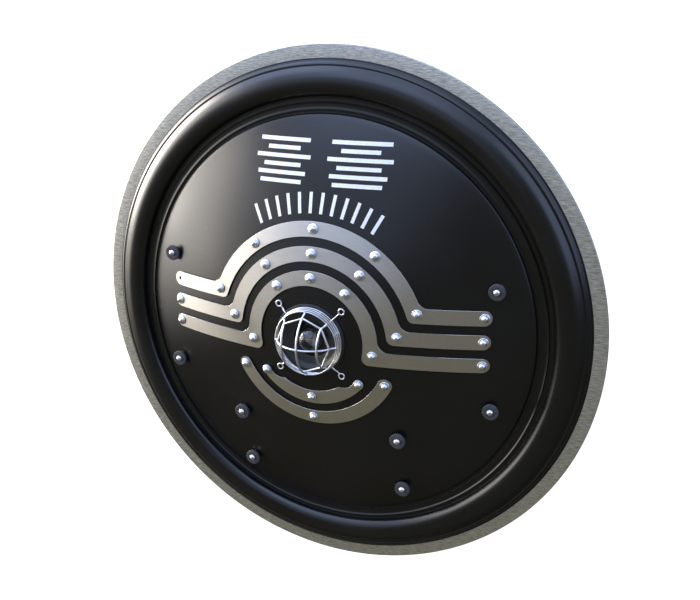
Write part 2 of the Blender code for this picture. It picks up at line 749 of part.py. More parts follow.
def box_outline(inset):
    """Plan outline of the battery box, drawn in by inset, with points close enough to follow the dome."""
    half_x = LOW_SPACER_X + BOX_MARGIN_X - inset
    high = max(LOW_SPACER_Y) + BOX_MARGIN_Y - inset
    low = min(LOW_SPACER_Y) - BOX_MARGIN_Y + inset
    corner = BOX_CORNER - inset
    right, top, bottom = half_x - corner, high - corner, low + corner
    centres = [(right, top), (-right, top), (-right, bottom), (right, bottom)]
    outline = []
    for number, centre in enumerate(centres):
        turn = pi / 2 * number
        following = centres[(number + 1) % 4]
        arc = arc_points(centre, corner, turn, turn + pi / 2, 3)
        start = Vector(arc[-1])
        end = Vector(arc_points(following, corner, turn + pi / 2, turn + pi, 2)[0])
        steps = 6 if number % 2 == 0 else 3
        outline += arc
        outline += [tuple(start.lerp(end, k / steps)) for k in range(1, steps)]
    return outline


def box_post_mesh(x, y):
    """A round post from the box floor to just under the slope of the shell at x, y."""
    slope = hypot(x, y) / (dome_height(x, y) - DOME_CENTRE)
    top = shell_underside(x, y) - BOX_POST * slope
    bottom = BOX_FLOOR + BOX_WALL / 2
    return turned_mesh([(0, bottom), (BOX_POST, bottom), (BOX_POST, top), (0, top)], 8)


def make_box(finish):
    bm = bmesh.new()
    outer, inner = box_outline(0), box_outline(BOX_WALL)
    floor = BOX_FLOOR + BOX_WALL
    loops = [
        [bm.verts.new((x, y, BOX_FLOOR)) for x, y in outer],
        [bm.verts.new((x, y, shell_underside(x, y))) for x, y in outer],
        [bm.verts.new((x, y, shell_underside(x, y))) for x, y in inner],
        [bm.verts.new((x, y, floor)) for x, y in inner],
    ]
    bm.faces.new(loops[0])
    bm.faces.new(loops[-1])
    count = len(outer)
    for low, high in zip(loops, loops[1:]):
        for k in range(count):
            bm.faces.new((low[k], low[(k + 1) % count], high[(k + 1) % count], high[k]))
    box = add_object("battery_box", bm, finish)
    posts = bpy.data.collections.new("box_posts")
    bpy.context.scene.collection.children.link(posts)
    drills = []
    for number, (x, y) in enumerate(spacer_places()[4:], 1):
        post = add_object(f"box_post_{number}", box_post_mesh(x, y), None)
        post.location = (x, y, 0)
        bpy.context.scene.collection.objects.unlink(post)
        posts.objects.link(make_cutter(post))
        depth = SHELL_WALL + BOLT_GRIP + 2 * SEAT
        drills.append(drill(f"box_drill_{number}", BOLT_HOLE, depth, upright_seat(x, y)))
    join = box.modifiers.new("posts", "BOOLEAN")
    join.operation = "UNION"
    join.solver = "EXACT"
    join.operand_type = "COLLECTION"
    join.collection = posts
    cut_with(box, drills)
    return box


def clear_scene():
    for old in list(bpy.data.objects):
        bpy.data.objects.remove(old, do_unlink=True)


def main():
    clear_scene()
    finish = all_materials()
    make_rim(finish["brushed_steel"])
    make_shell(finish["black_shell"])
    places = []
    for strip in upper_strips():
        made = make_upper_strip(strip, finish["satin_strip"])
        screws = upper_screw_places(strip)
        if strip.name == "strip_upper_outer":
            x, y = screws.pop()
            cut_with(made, [drill("bare_hole", BARE_HOLE, STRIP_THICK, dome_seat(x, y, STRIP_TOP), 12)])
        places += screws
    lowers = (("strip_lower_inner", INNER_ARC, True), ("strip_lower_outer", INNER_ARC + STRIP_PITCH, False))
    for name, arc, relieved in lowers:
        places += make_lower_strip(name, arc, relieved, finish["satin_strip"])
    make_strip_screws(places, finish["bright_steel"])
    make_spacers(finish["dark_rubber"], finish["bright_steel"])
    make_lamp_base(finish["black_plastic"])
    make_bulb(finish["clear_glass"])
    make_guard(finish["bright_steel"])
    make_strap("hand_strap", 1, HAND_STRAP_WIDE, finish["dark_rubber"])
    make_strap("arm_strap", -1, ARM_STRAP_WIDE, finish["dark_rubber"])
    make_box(finish["black_plastic"])


main()
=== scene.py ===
# %% [markdown]
# # A round riot shield, dressed for its portrait
#
# The shield is a black pressed plastic dish on a flat steel ring. Three omega-shaped steel strips cross
# its front, two short arcs lie under them, and a lamp in a wire guard sits in the middle. It lies on a
# pale floor with its front up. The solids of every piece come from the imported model.
#
# We could colour those solids and be done, but their round forms have few faces. So each piece is built
# again here with finer curves, in the same place and at the same size, and stands in for its solid.

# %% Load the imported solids
import json
from math import asin, atan2, cos, hypot, pi, radians, sin, sqrt

import bmesh
import bpy
from mathutils import Matrix, Vector

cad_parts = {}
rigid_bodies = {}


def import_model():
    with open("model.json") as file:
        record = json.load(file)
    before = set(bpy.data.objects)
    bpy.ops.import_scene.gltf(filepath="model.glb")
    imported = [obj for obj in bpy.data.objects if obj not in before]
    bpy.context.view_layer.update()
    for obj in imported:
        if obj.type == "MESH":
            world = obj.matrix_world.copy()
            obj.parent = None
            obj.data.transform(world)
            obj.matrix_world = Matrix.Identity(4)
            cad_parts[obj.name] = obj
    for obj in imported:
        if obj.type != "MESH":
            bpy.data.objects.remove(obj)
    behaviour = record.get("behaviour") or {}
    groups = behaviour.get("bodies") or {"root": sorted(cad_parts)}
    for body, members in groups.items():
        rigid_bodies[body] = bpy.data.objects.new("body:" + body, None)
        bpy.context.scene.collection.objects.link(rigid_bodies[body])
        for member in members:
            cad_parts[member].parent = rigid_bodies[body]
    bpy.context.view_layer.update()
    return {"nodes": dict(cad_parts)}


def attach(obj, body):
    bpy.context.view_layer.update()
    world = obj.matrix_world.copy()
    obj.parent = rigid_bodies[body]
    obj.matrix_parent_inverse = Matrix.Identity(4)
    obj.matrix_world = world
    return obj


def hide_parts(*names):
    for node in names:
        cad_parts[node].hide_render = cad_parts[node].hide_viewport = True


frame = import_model()
MM = 0.001


def add_to_scene(thing):
    bpy.context.scene.collection.objects.link(thing)
    return thing


print("solids:", len(frame["nodes"]))

# %% [markdown]
# ## The view
#
# A camera has a place, a direction and a lens. The shield is seen from its upper right, so the camera
# stands off to the right of its axis and towards its top edge. A constraint could keep it pointed at the
# lamp, but the lamp isn't quite in the middle of the picture. So we turn the camera by two angles, one to
# the side and one up, and roll it by a hair. The lens is a mild telephoto for this sensor.

# %% Camera
EYE = Vector((345.74, 313.10, 782.30)) * MM
TURN_SIDE = radians(22.702)
TURN_UP = radians(18.780)
ROLL = radians(0.022)
LENS = 44.194

lens = bpy.data.cameras.new("camera")
lens.lens = LENS
lens.sensor_width = 36
camera = add_to_scene(bpy.data.objects.new("camera", lens))
aim = Matrix.Rotation(TURN_SIDE, 4, "Y") @ Matrix.Rotation(-TURN_UP, 4, "X") @ Matrix.Rotation(ROLL, 4, "Z")
camera.matrix_world = Matrix.Translation(EYE) @ aim
bpy.context.scene.camera = camera
print("camera stands", round(EYE.length, 3), "m from the middle of the floor")

# %% [markdown]
# ## Helpers for finishes
#
# Every finish is a Principled shader. A plain number goes straight on the shader's own socket. What
# varies over the surface, such as brushing or wear, comes from noise laid out in object space, so it
# keeps its real size on every piece. The nodes could be wired by hand in the shader editor. Five small
# functions do the same work, so that all the finishes are made alike and are easy to compare.

# %% Finish and noise helpers
def new_finish(name, colour, rough, metal=0.0):
    finish = bpy.data.materials.new(name)
    finish.use_nodes = True
    shader = finish.node_tree.nodes["Principled BSDF"]
    shader.inputs["Base Color"].default_value = (*colour, 1)
    shader.inputs["Roughness"].default_value = rough
    shader.inputs["Metallic"].default_value = metal
    return finish, shader


def noise_at(finish, scale, stretch=(1, 1, 1), detail=3.0, rough=0.5):
    """Noise in object space: scale is its grains in a metre, and stretch draws them out."""
    nodes, links = finish.node_tree.nodes, finish.node_tree.links
    place = nodes.new("ShaderNodeTexCoord")
    mapping = nodes.new("ShaderNodeMapping")
    mapping.inputs["Scale"].default_value = stretch
    noise = nodes.new("ShaderNodeTexNoise")
    noise.inputs["Scale"].default_value = scale
    noise.inputs["Detail"].default_value = detail
    noise.inputs["Roughness"].default_value = rough
    links.new(place.outputs["Object"], mapping.inputs["Vector"])
    links.new(mapping.outputs["Vector"], noise.inputs["Vector"])
    return noise.outputs["Fac"]


print("finish and noise helpers ready")

# %% [markdown]
# Noise is only a number from 0 to 1 at each place. It has to become a gloss, a tone or a small height
# before it shows. One Color Ramp could be set up by eye for each of these. The other three functions do it
# with plain numbers instead, so that a bump is given at its real height in metres.

# %% Tone and bump helpers
def spread(finish, value, low, high, start=0.3, end=0.7):
    """Turns a 0 to 1 value into one between low and high."""
    ranged = finish.node_tree.nodes.new("ShaderNodeMapRange")
    ranged.inputs["From Min"].default_value = start
    ranged.inputs["From Max"].default_value = end
    ranged.inputs["To Min"].default_value = low
    ranged.inputs["To Max"].default_value = high
    finish.node_tree.links.new(value, ranged.inputs["Value"])
    return ranged.outputs["Result"]


def two_tones(finish, shader, value, dark, light):
    """Colours the finish between two tones by a 0 to 1 value."""
    mix = finish.node_tree.nodes.new("ShaderNodeMix")
    mix.data_type = "RGBA"
    mix.inputs["A"].default_value = (*dark, 1)
    mix.inputs["B"].default_value = (*light, 1)
    finish.node_tree.links.new(value, mix.inputs["Factor"])
    finish.node_tree.links.new(mix.outputs["Result"], shader.inputs["Base Color"])


def bumps(finish, shader, value, height):
    """Roughens the surface by height, in metres, where the value is 1."""
    bump = finish.node_tree.nodes.new("ShaderNodeBump")
    bump.inputs["Strength"].default_value = 1
    bump.inputs["Distance"].default_value = height
    finish.node_tree.links.new(value, bump.inputs["Height"])
    finish.node_tree.links.new(bump.outputs["Normal"], shader.inputs["Normal"])


print("tone and bump helpers ready")

# %% [markdown]
# ## The finishes
#
# The dish is moulded in black plastic with a satin gloss and a very faint orange peel. One even gloss
# would be the simplest, but handled plastic is never even. So slow noise changes the gloss and the tone a
# little from place to place, and fine noise gives the peel as a tiny bump.

# %% Black plastic of the dish
shell_black, shader = new_finish("shell_black", (0.004, 0.004, 0.0045), 0.3)
shader.inputs["Specular IOR Level"].default_value = 0.5
rub = noise_at(shell_black, 9, detail=4)
rubbed = spread(shell_black, rub, 0, 1)
two_tones(shell_black, shader, rubbed, (0.003, 0.003, 0.0034), (0.006, 0.006, 0.0064))
shell_black.node_tree.links.new(spread(shell_black, rub, 0.25, 0.3), shader.inputs["Roughness"])
bumps(shell_black, shader, noise_at(shell_black, 700, detail=2), 0.00001)
print("finish:", shell_black.name)

# %% [markdown]
# The rim ring is sheet steel, brushed from side to side. The brushing could be a picture laid over the
# ring. Noise drawn out along one direction gives the same streaks at their real width and has no seam, and
# the shader's anisotropy spreads each highlight across them. The strips are the same steel with a finer
# satin that has no clear direction. Their sheared sides are rougher, and their finish is painted far darker
# than steel as painted shade, so that they catch no light.

# %% Brushed and satin steel
def brushed(finish, shader, along):
    """Spreads the gloss across the brushing, which runs at right angles to along."""
    nodes, links = finish.node_tree.nodes, finish.node_tree.links
    place = nodes.new("ShaderNodeTexCoord")
    cross = nodes.new("ShaderNodeVectorMath")
    cross.operation = "CROSS_PRODUCT"
    cross.inputs[1].default_value = along
    links.new(place.outputs["Normal"], cross.inputs[0])
    links.new(cross.outputs["Vector"], shader.inputs["Tangent"])


rim_steel, shader = new_finish("rim_steel", (0.6, 0.6, 0.59), 0.3, 1.0)
shader.inputs["Anisotropic"].default_value = 0.72
brushed(rim_steel, shader, (1, 0, 0))
brushing = noise_at(rim_steel, 1000, (0.12, 1, 1), detail=4, rough=0.7)
lines = spread(rim_steel, brushing, 0, 1, 0.35, 0.65)
two_tones(rim_steel, shader, lines, (0.42, 0.41, 0.365), (0.95, 0.93, 0.85))
rim_steel.node_tree.links.new(spread(rim_steel, brushing, 0.3, 0.36), shader.inputs["Roughness"])
bumps(rim_steel, shader, brushing, 0.00004)

strip_steel, shader = new_finish("strip_steel", (0.59, 0.57, 0.54), 0.36, 1.0)
satin = noise_at(strip_steel, 900, (0.05, 1, 1), detail=4)
two_tones(strip_steel, shader, spread(strip_steel, satin, 0, 1), (0.57, 0.55, 0.52), (0.62, 0.6, 0.57))
strip_steel.node_tree.links.new(spread(strip_steel, satin, 0.34, 0.38), shader.inputs["Roughness"])

# The sides' finish is painted shade: its tones are far darker than steel, so the sheared sides catch no
# light.
sheared_steel_painted_shade, shader = new_finish("sheared_steel_painted_shade", (0.12, 0.115, 0.105), 0.6, 1.0)
shear_marks = noise_at(sheared_steel_painted_shade, 700, (1, 1, 0.2))
two_tones(sheared_steel_painted_shade, shader, shear_marks, (0.08, 0.077, 0.07), (0.16, 0.155, 0.14))
print("finishes:", rim_steel.name, strip_steel.name, sheared_steel_painted_shade.name)

# %% [markdown]
# The screws and the wire guard are bright metal. A perfect mirror would break up into hard dots of light
# on such small rounds, while real plating is slightly clouded. So both are metals with a middling gloss,
# and noise changes their tone and gloss a little.

# %% Bright metal of the screws and the guard
screw_bright, shader = new_finish("screw_bright", (0.8, 0.82, 0.86), 0.33, 1.0)
wear = noise_at(screw_bright, 90, detail=2)
two_tones(screw_bright, shader, spread(screw_bright, wear, 0, 1), (0.74, 0.76, 0.8), (0.84, 0.86, 0.9))
screw_bright.node_tree.links.new(spread(screw_bright, wear, 0.3, 0.37), shader.inputs["Roughness"])

guard_bright, shader = new_finish("guard_bright", (0.78, 0.79, 0.8), 0.38, 1.0)
drawn = noise_at(guard_bright, 120, detail=2)
two_tones(guard_bright, shader, spread(guard_bright, drawn, 0, 1), (0.7, 0.7, 0.71), (0.84, 0.85, 0.86))
guard_bright.node_tree.links.new(spread(guard_bright, drawn, 0.34, 0.42), shader.inputs["Roughness"])
print("finishes:", screw_bright.name, guard_bright.name)

# %% [markdown]
# The spacers are matt rubber and the lamp is moulded black. Its bulb is clear glass round a brass
# filament, and the marks on the front are white ink. Thin glass could be faked with a half transparent
# surface. Full transmission with a real index of refraction bends what lies behind, as the bulb does.

# %% Rubber, lamp plastic, glass, brass and print
rubber, shader = new_finish("rubber", (0.045, 0.045, 0.05), 0.6)
grain = noise_at(rubber, 900, detail=3)
cloudy = spread(rubber, noise_at(rubber, 90), 0, 1)
two_tones(rubber, shader, cloudy, (0.038, 0.038, 0.043), (0.052, 0.052, 0.058))
bumps(rubber, shader, grain, 0.00006)

lamp_black, shader = new_finish("lamp_black", (0.018, 0.018, 0.02), 0.36)
lamp_grain = noise_at(lamp_black, 1100, detail=2)
lamp_black.node_tree.links.new(spread(lamp_black, lamp_grain, 0.32, 0.42), shader.inputs["Roughness"])
bumps(lamp_black, shader, lamp_grain, 0.00003)

lamp_glass, shader = new_finish("lamp_glass", (0.95, 0.97, 0.98), 0.02)
shader.inputs["Transmission Weight"].default_value = 1.0
shader.inputs["IOR"].default_value = 1.45

brass, shader = new_finish("brass", (0.55, 0.4, 0.2), 0.35, 1.0)
two_tones(brass, shader, noise_at(brass, 400), (0.5, 0.36, 0.17), (0.62, 0.46, 0.25))

print_white, shader = new_finish("print_white", (0.8, 0.81, 0.83), 0.5)
ink = noise_at(print_white, 500, detail=3)
two_tones(print_white, shader, spread(print_white, ink, 0, 1), (0.76, 0.77, 0.79), (0.86, 0.87, 0.89))
print("finishes:", rubber.name, lamp_black.name, lamp_glass.name, brass.name, print_white.name)

# %% [markdown]
# The straps are woven webbing, sewn with thread. Each yarn could be modelled, but there are thousands of
# them in a strap. So two sets of soft ridges cross in the material, and give the weave as tone and bump.

# %% Woven webbing and thread of the straps
WEAVE_PITCH = 1.4 * MM


def weave_of(finish, pitch):
    """Two crossing sets of soft ridges, pitch apart, multiplied into a plain weave."""
    nodes, links = finish.node_tree.nodes, finish.node_tree.links
    place = nodes.new("ShaderNodeTexCoord")
    ridges = []
    for direction in ("X", "Y"):
        wave = nodes.new("ShaderNodeTexWave")
        wave.bands_direction = direction
        wave.inputs["Scale"].default_value = pi / 10 / pitch
        links.new(place.outputs["Object"], wave.inputs["Vector"])
        ridges.append(wave.outputs["Fac"])
    woven = nodes.new("ShaderNodeMath")
    woven.operation = "MULTIPLY"
    for socket, ridge in zip(woven.inputs, ridges):
        links.new(ridge, socket)
    return woven.outputs[0]


webbing, shader = new_finish("webbing", (0.02, 0.02, 0.022), 0.75)
shader.inputs["Sheen Weight"].default_value = 0.15
weave = weave_of(webbing, WEAVE_PITCH)
two_tones(webbing, shader, spread(webbing, weave, 0, 1, 0, 1), (0.012, 0.012, 0.013), (0.04, 0.04, 0.043))
bumps(webbing, shader, weave, 0.0003)

thread, shader = new_finish("thread", (0.07, 0.07, 0.075), 0.65)
two_tones(thread, shader, noise_at(thread, 1500), (0.05, 0.05, 0.055), (0.1, 0.1, 0.105))
print("finishes:", webbing.name, thread.name)

# %% [markdown]
# ## Helpers for meshes
#
# Every piece starts as a bare mesh. It then gets a finish, is fixed to the shield, and the solids it stands
# for are hidden. All of this could be written out for each piece, but there are some sixty of them.
# So a few helpers do it in the same order each time, and nothing is forgotten.

# %% Turning meshes into pieces
def loose_piece(bm, finish, sharp=40, name="loose"):
    """Turns a bmesh into an object with one finish, shaded smooth but for its sharp edges."""
    bmesh.ops.recalc_face_normals(bm, faces=bm.faces)
    mesh = bpy.data.meshes.new(name)
    bm.to_mesh(mesh)
    bm.free()
    mesh.materials.append(finish)
    mesh.shade_smooth()
    mesh.set_sharp_from_angle(angle=radians(sharp))
    return add_to_scene(bpy.data.objects.new(name, mesh))


def settle(piece, nodes):
    """Fixes a piece to the shield, and lets it stand for its solids."""
    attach(piece, "root")
    if nodes:
        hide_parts(*nodes)
    return piece


def make_piece(name, bm, finish, nodes, sharp=40):
    return settle(loose_piece(bm, finish, sharp, name), nodes)


print("piece helpers ready")

# %% [markdown]
# Most of the shield is round, so a section spun about the axis makes it. Blender's Screw modifier could
# spin a section too. Done point by point, the corners stay exact and the script can ask for any number of
# sides.

# %% Spun sections
def spun(section, sides, closed=True):
    """Spins a section of (radius, height) points about the Z axis."""
    bm = bmesh.new()
    rings = []
    for radius, height in section:
        if radius < 1e-7:
            rings.append([bm.verts.new((0, 0, height))])
        else:
            turns = [2 * pi * k / sides for k in range(sides)]
            rings.append([bm.verts.new((radius * cos(a), radius * sin(a), height)) for a in turns])
    following = rings[1:] + rings[:1] if closed else rings[1:]
    for low, high in zip(rings, following):
        if len(low) == 1 and len(high) == 1:
            continue
        for k in range(sides):
            ahead = k + 1
            ring = [low[k % len(low)], low[ahead % len(low)], high[ahead % len(high)], high[k % len(high)]]
            bm.faces.new(list(dict.fromkeys(ring)))
    return bm


print("spun sections ready")

# %% [markdown]
# Real edges are never perfectly sharp, and a rounding of half a millimetre is enough to catch the light.
# A Bevel modifier would round all edges by the same amount. In a section each corner can have its own: we
# walk from corner to corner and put a small arc in the place of each.

# %% Rounded corners
def rounded(corners, parts=5):
    """Points of an open section whose corners (radius, height, rounding) are rounded off."""
    points = [corners[0][:2]]
    for before, here, after in zip(corners, corners[1:], corners[2:]):
        rounding = here[2]
        corner = Vector(here[:2])
        back = (Vector(before[:2]) - corner).normalized()
        on = (Vector(after[:2]) - corner).normalized()
        if rounding <= 0 or back.angle(on) > radians(178):
            points.append(tuple(corner))
            continue
        half = back.angle(on) / 2
        middle = corner + (back + on).normalized() * rounding / sin(half)
        start = corner + back * rounding / (sin(half) / cos(half)) - middle
        end = corner + on * rounding / (sin(half) / cos(half)) - middle
        sweep = start.angle(end) * (1 if start.cross(end) > 0 else -1)
        for k in range(parts + 1):
            turn = sweep * k / parts
            spoke = Matrix.Rotation(turn, 2) @ start
            points.append(tuple(middle + spoke))
    points.append(corners[-1][:2])
    return points


print("a rounded corner has", len(rounded([(0, 0, 0), (1, 0, 0.2), (1, 1, 0)])) - 2, "points")

# %% [markdown]
# What is long and not round, such as a strip, a strap or a stitch, could be an extruded bar. Its section
# often changes on the way, though. So we draw a loop of points for each place along it, and lay a skin
# over the loops.

# %% Skins over loops
def skin(bm, loops):
    """Joins loops of equal length into a closed body, and returns its side faces and its end faces."""
    rings = [[bm.verts.new(point) for point in loop] for loop in loops]
    sides = []
    for low, high in zip(rings, rings[1:]):
        for k in range(len(low)):
            ahead = (k + 1) % len(low)
            sides.append(bm.faces.new((low[k], low[ahead], high[ahead], high[k])))
    return sides, [bm.faces.new(rings[0]), bm.faces.new(rings[-1])]


print("skins ready")

# %% [markdown]
# ## The dish
#
# The dish is one moulding. From the middle outwards it is a shallow dome, a rounded turn, a groove, a
# slightly dished ledge, a second groove, a bold round bead, and a small lip that stands on the steel
# ring. It could be joined from a sphere, some rings and a torus. One section from the middle to the lip
# and back inside gives a single clean skin, with each groove at its own radius. The dome is part of a
# sphere, so one formula gives its height, and everything fixed to it uses the same formula.

# %% The dome's sphere
RIM_THICK = 3 * MM
SEAT = 0.3 * MM
DOME_CURVE = 493 * MM
DOME_TOP = RIM_THICK + 56.2 * MM
DOME_CENTRE = DOME_TOP - DOME_CURVE
SHELL_WALL = 3 * MM
LAMP_Y = -1.2 * MM


def dome_height(x, y, lift=0.0):
    return DOME_CENTRE + sqrt((DOME_CURVE + lift) ** 2 - x * x - y * y)


def dome_seat(x, y, lift):
    """Puts a piece upright on the dome at x, y, its own origin lift above the surface."""
    foot = Vector((x, y, dome_height(x, y)))
    normal = (foot - Vector((0, 0, DOME_CENTRE))).normalized()
    return Matrix.Translation(foot + normal * lift) @ normal.to_track_quat("Z", "Y").to_matrix().to_4x4()


print("dome top at", round(DOME_TOP * 1000, 1), "mm")

# %% [markdown]
# The bead and the lip have no sharp corners. We could round them from a few corners, like the grooves, but
# the bead is fuller on its inner side. So its height is given at many radii, in millimetres over the rim
# ring, and a smooth curve runs through all of them.

# %% Curves of the bead and the lip
BEAD_FACE = [
    (232.6, 6.3), (233.2, 7.4), (234, 8.35), (235, 9.3), (236.5, 10.4), (238, 11.15), (240, 11.75),
    (242, 12.05), (244.5, 12.2), (247, 12.1), (249, 11.8), (251, 11.2), (253, 10.3), (255, 9.2),
    (257, 7.85), (259, 6.3), (260.6, 5.0),
]

LIP_FACE = [
    (260.9, 4.85), (261.2, 4.8), (261.6, 4.95), (262.1, 5.05), (262.7, 4.85), (263.5, 4.35), (264.3, 3.75),
    (265.0, 3.0), (265.6, 2.0), (266.1, 1.2), (266.7, 0.9), (267.5, 0.8), (267.9, 0.6), (268.0, 0.3),
]


def smooth_through(points, parts=4):
    """Extra points between the given ones, on a smooth curve that passes through them all."""
    known = [Vector(p) for p in points]
    ends = [known[0] * 2 - known[1]] + known + [known[-1] * 2 - known[-2]]
    line = []
    for before, here, ahead, after in zip(ends, ends[1:], ends[2:], ends[3:]):
        for k in range(parts):
            s = k / parts
            bend = (2 * here, ahead - before, 2 * before - 5 * here + 4 * ahead - after,
                    3 * here - before - 3 * ahead + after)
            line.append(tuple((bend[0] + bend[1] * s + bend[2] * s * s + bend[3] * s ** 3) / 2))
    return line + [tuple(points[-1])]


print("points of the bead and the lip:", len(smooth_through(BEAD_FACE)), len(smooth_through(LIP_FACE)))

# %% [markdown]
# The section goes out over the front and comes back along the inside, about 3 mm behind. A Solidify modifier
# could add the inside, but its skin would fold over itself in the tight grooves. So the inside has a few
# corners of its own and follows the front more simply, as the back of a pressed dish does.

# %% The dish
DOME_EDGE = 213.1 * MM
LAMP_HOLE = 34.5 * MM


def over_rim(corners):
    """Section corners given in millimetres, with heights from the rim ring's top face."""
    return [(r * MM, RIM_THICK + z * MM, rounding * MM) for r, z, rounding in corners]


def front_section():
    """The dish's outer face, from the lamp hole out to the lip's foot."""
    steps = 60
    radii = [LAMP_HOLE + (DOME_EDGE - LAMP_HOLE) * k / steps for k in range(steps + 1)]
    dome = [(r, dome_height(r, 0)) for r in radii]
    bead = [(r * MM, RIM_THICK + z * MM) for r, z in smooth_through(BEAD_FACE)]
    turn = [dome[-1] + (0,)] + over_rim([
        (215.3, 6.5, 1.6), (216.4, 4.8, 0.3), (216.6, 2.8, 0.3), (219.7, 2.8, 0.3), (219.9, 4.6, 0.15),
        (222.3, 3.7, 0.8), (225.6, 3.6, 1.2), (227.2, 4.75, 0.15), (227.6, 2.0, 0.3), (232.2, 2.0, 0.3),
    ]) + [bead[0] + (0,)]
    lip = [(r * MM, RIM_THICK + z * MM) for r, z in smooth_through(LIP_FACE)]
    return dome[:-1] + rounded(turn) + bead[1:] + lip


def back_section():
    """The dish's inner face, from the lip's foot back to the lamp hole."""
    inner = DOME_CURVE - SHELL_WALL
    edge = 211.8 * MM
    corners = over_rim([
        (259.5, SEAT / MM, 0), (259.3, 2.0, 0.6), (254.0, 7.4, 4), (247.3, 9.2, 6), (240.6, 8.7, 4),
        (236.4, 5.0, 2), (235.2, -1.0, 1), (220.5, -1.0, 2), (214.0, 1.6, 2),
    ])
    corners.append((edge, DOME_CENTRE + sqrt(inner ** 2 - edge ** 2), 1 * MM))
    steps = 50
    radii = [edge - (edge - LAMP_HOLE) * k / steps for k in range(1, steps + 1)]
    dome = [(r, DOME_CENTRE + sqrt(inner ** 2 - r * r)) for r in radii]
    return rounded(corners + [dome[0] + (0,)])[:-1] + dome


shell = make_piece("shell_dish", spun(front_section() + back_section(), 288), shell_black,
                   ["shell"], sharp=50)
print("dish:", len(shell.data.polygons), "faces")

# %% [markdown]
# ## The rim ring
#
# A flat ring cut from 3 mm steel plate, with its outer top edge rounded over so it doesn't cut. Only
# its outer margin shows, outside the dish's lip. A cylinder with a hole would do for the shape, but its
# edges would be perfectly sharp and catch no light. So the ring is a spun section with rounded corners.

# %% Rim ring
RIM_IN, RIM_OUT = 255 * MM, 281.2 * MM
HAIR = 0.0001 * MM
rim_corners = [
    (RIM_IN, 0, 0),
    (RIM_OUT, 0, 0.3 * MM),
    (RIM_OUT, RIM_THICK, 0.6 * MM),
    (RIM_IN, RIM_THICK, 0.3 * MM),
    (RIM_IN, HAIR, 0),  # A hair above the first point, so that the section closes without a double point.
]
rim_turned = spun(rounded(rim_corners, 7), 288)
rim = make_piece("rim_ring_plate", rim_turned, rim_steel, ["rim_ring"])
print("rim ring:", len(rim.data.polygons), "faces")

# %% [markdown]
# ## The strips
#
# Each upper strip runs level from the side, turns up at an elbow, and arches over the lamp. All arches
# share the lamp's centre, and the strips keep the same pitch in the wings as in the arches. A strip could
# be a flat sheet pressed onto the dome by a Shrinkwrap modifier, but that would thin it on the slopes.
# Instead we walk along it and put down a pair of edge points at each step, with a round cap at the end, a
# hollow fillet on the outside of the elbow and a round corner on its inside.

# %% Strip sizes
STRIP_HALF = 7.4 * MM
STRIP_THICK = 1.5 * MM
STRIP_PITCH = 23.9 * MM
INNER_ARC = 63.3 * MM
INNER_WING_Y = -13.0 * MM
WING_END_X = 168.5 * MM
ELBOW_FILLET = 12 * MM
STRIP_EDGE = 0.12 * MM
STEP = 3 * MM


def arc_points(centre, radius, start, end, count):
    turns = [start + (end - start) * k / (count - 1) for k in range(count)]
    return [(centre[0] + radius * cos(a), centre[1] + radius * sin(a)) for a in turns]


def cap_pairs(end, onward, outward, half, count=9):
    """Edge pairs of a round end: end is its centre, onward points along the strip out of it."""
    pairs = []
    for k in range(1, count):
        lean = pi / 2 * k / count
        tip = Vector(end) + Vector(onward) * half * cos(lean)
        side = Vector(outward) * half * sin(lean)
        pairs.append((tuple(tip + side), tuple(tip - side)))
    return pairs


print("strips are", round(STRIP_HALF * 2000, 1), "mm wide")

# %% [markdown]
# Half of an upper strip is one walk: round its end, along the wing, round the elbow and up the arch. At
# the elbow the two edges turn about centres of their own. The other half could be drawn in the same way.
# Mirroring the pairs is shorter, and both sides are sure to be alike.

# %% Outline of an upper strip
def upper_pairs(arc, wing_y):
    """Edge pairs of an upper strip, from its right end to the top of the arch."""
    outer, inner = arc + STRIP_HALF, arc - STRIP_HALF
    pairs = cap_pairs((WING_END_X, wing_y), (1, 0), (0, 1), STRIP_HALF)
    fillet_y = wing_y + STRIP_HALF + ELBOW_FILLET - LAMP_Y
    fillet_x = sqrt((outer + ELBOW_FILLET) ** 2 - fillet_y ** 2)
    corner_y = wing_y - LAMP_Y
    corner_x = sqrt((inner + STRIP_HALF) ** 2 - corner_y ** 2)
    steps = round((WING_END_X - fillet_x) / STEP)
    for k in range(steps):
        over = WING_END_X + (fillet_x - WING_END_X) * k / steps
        under = WING_END_X + (corner_x - WING_END_X) * k / steps
        pairs.append(((over, wing_y + STRIP_HALF), (under, wing_y - STRIP_HALF)))
    outer_turn, inner_turn = atan2(fillet_y, fillet_x), atan2(corner_y, corner_x)
    over = arc_points((fillet_x, fillet_y + LAMP_Y), ELBOW_FILLET, -pi / 2, outer_turn - pi, 14)
    under = arc_points((corner_x, corner_y + LAMP_Y), STRIP_HALF, -pi / 2, inner_turn - pi, 14)
    pairs += list(zip(over, under))
    steps = round(arc * (pi / 2 - outer_turn) / STEP)
    arch_out = arc_points((0, LAMP_Y), outer, outer_turn, pi / 2, steps + 1)
    arch_in = arc_points((0, LAMP_Y), inner, inner_turn, pi / 2, steps + 1)
    return pairs + list(zip(arch_out, arch_in))[1:]


def both_halves(pairs):
    mirrored = [((-a[0], a[1]), (-b[0], b[1])) for a, b in pairs[:-1]]
    return pairs + mirrored[::-1]


print("the inner strip has", len(both_halves(upper_pairs(INNER_ARC, INNER_WING_Y))), "edge pairs")
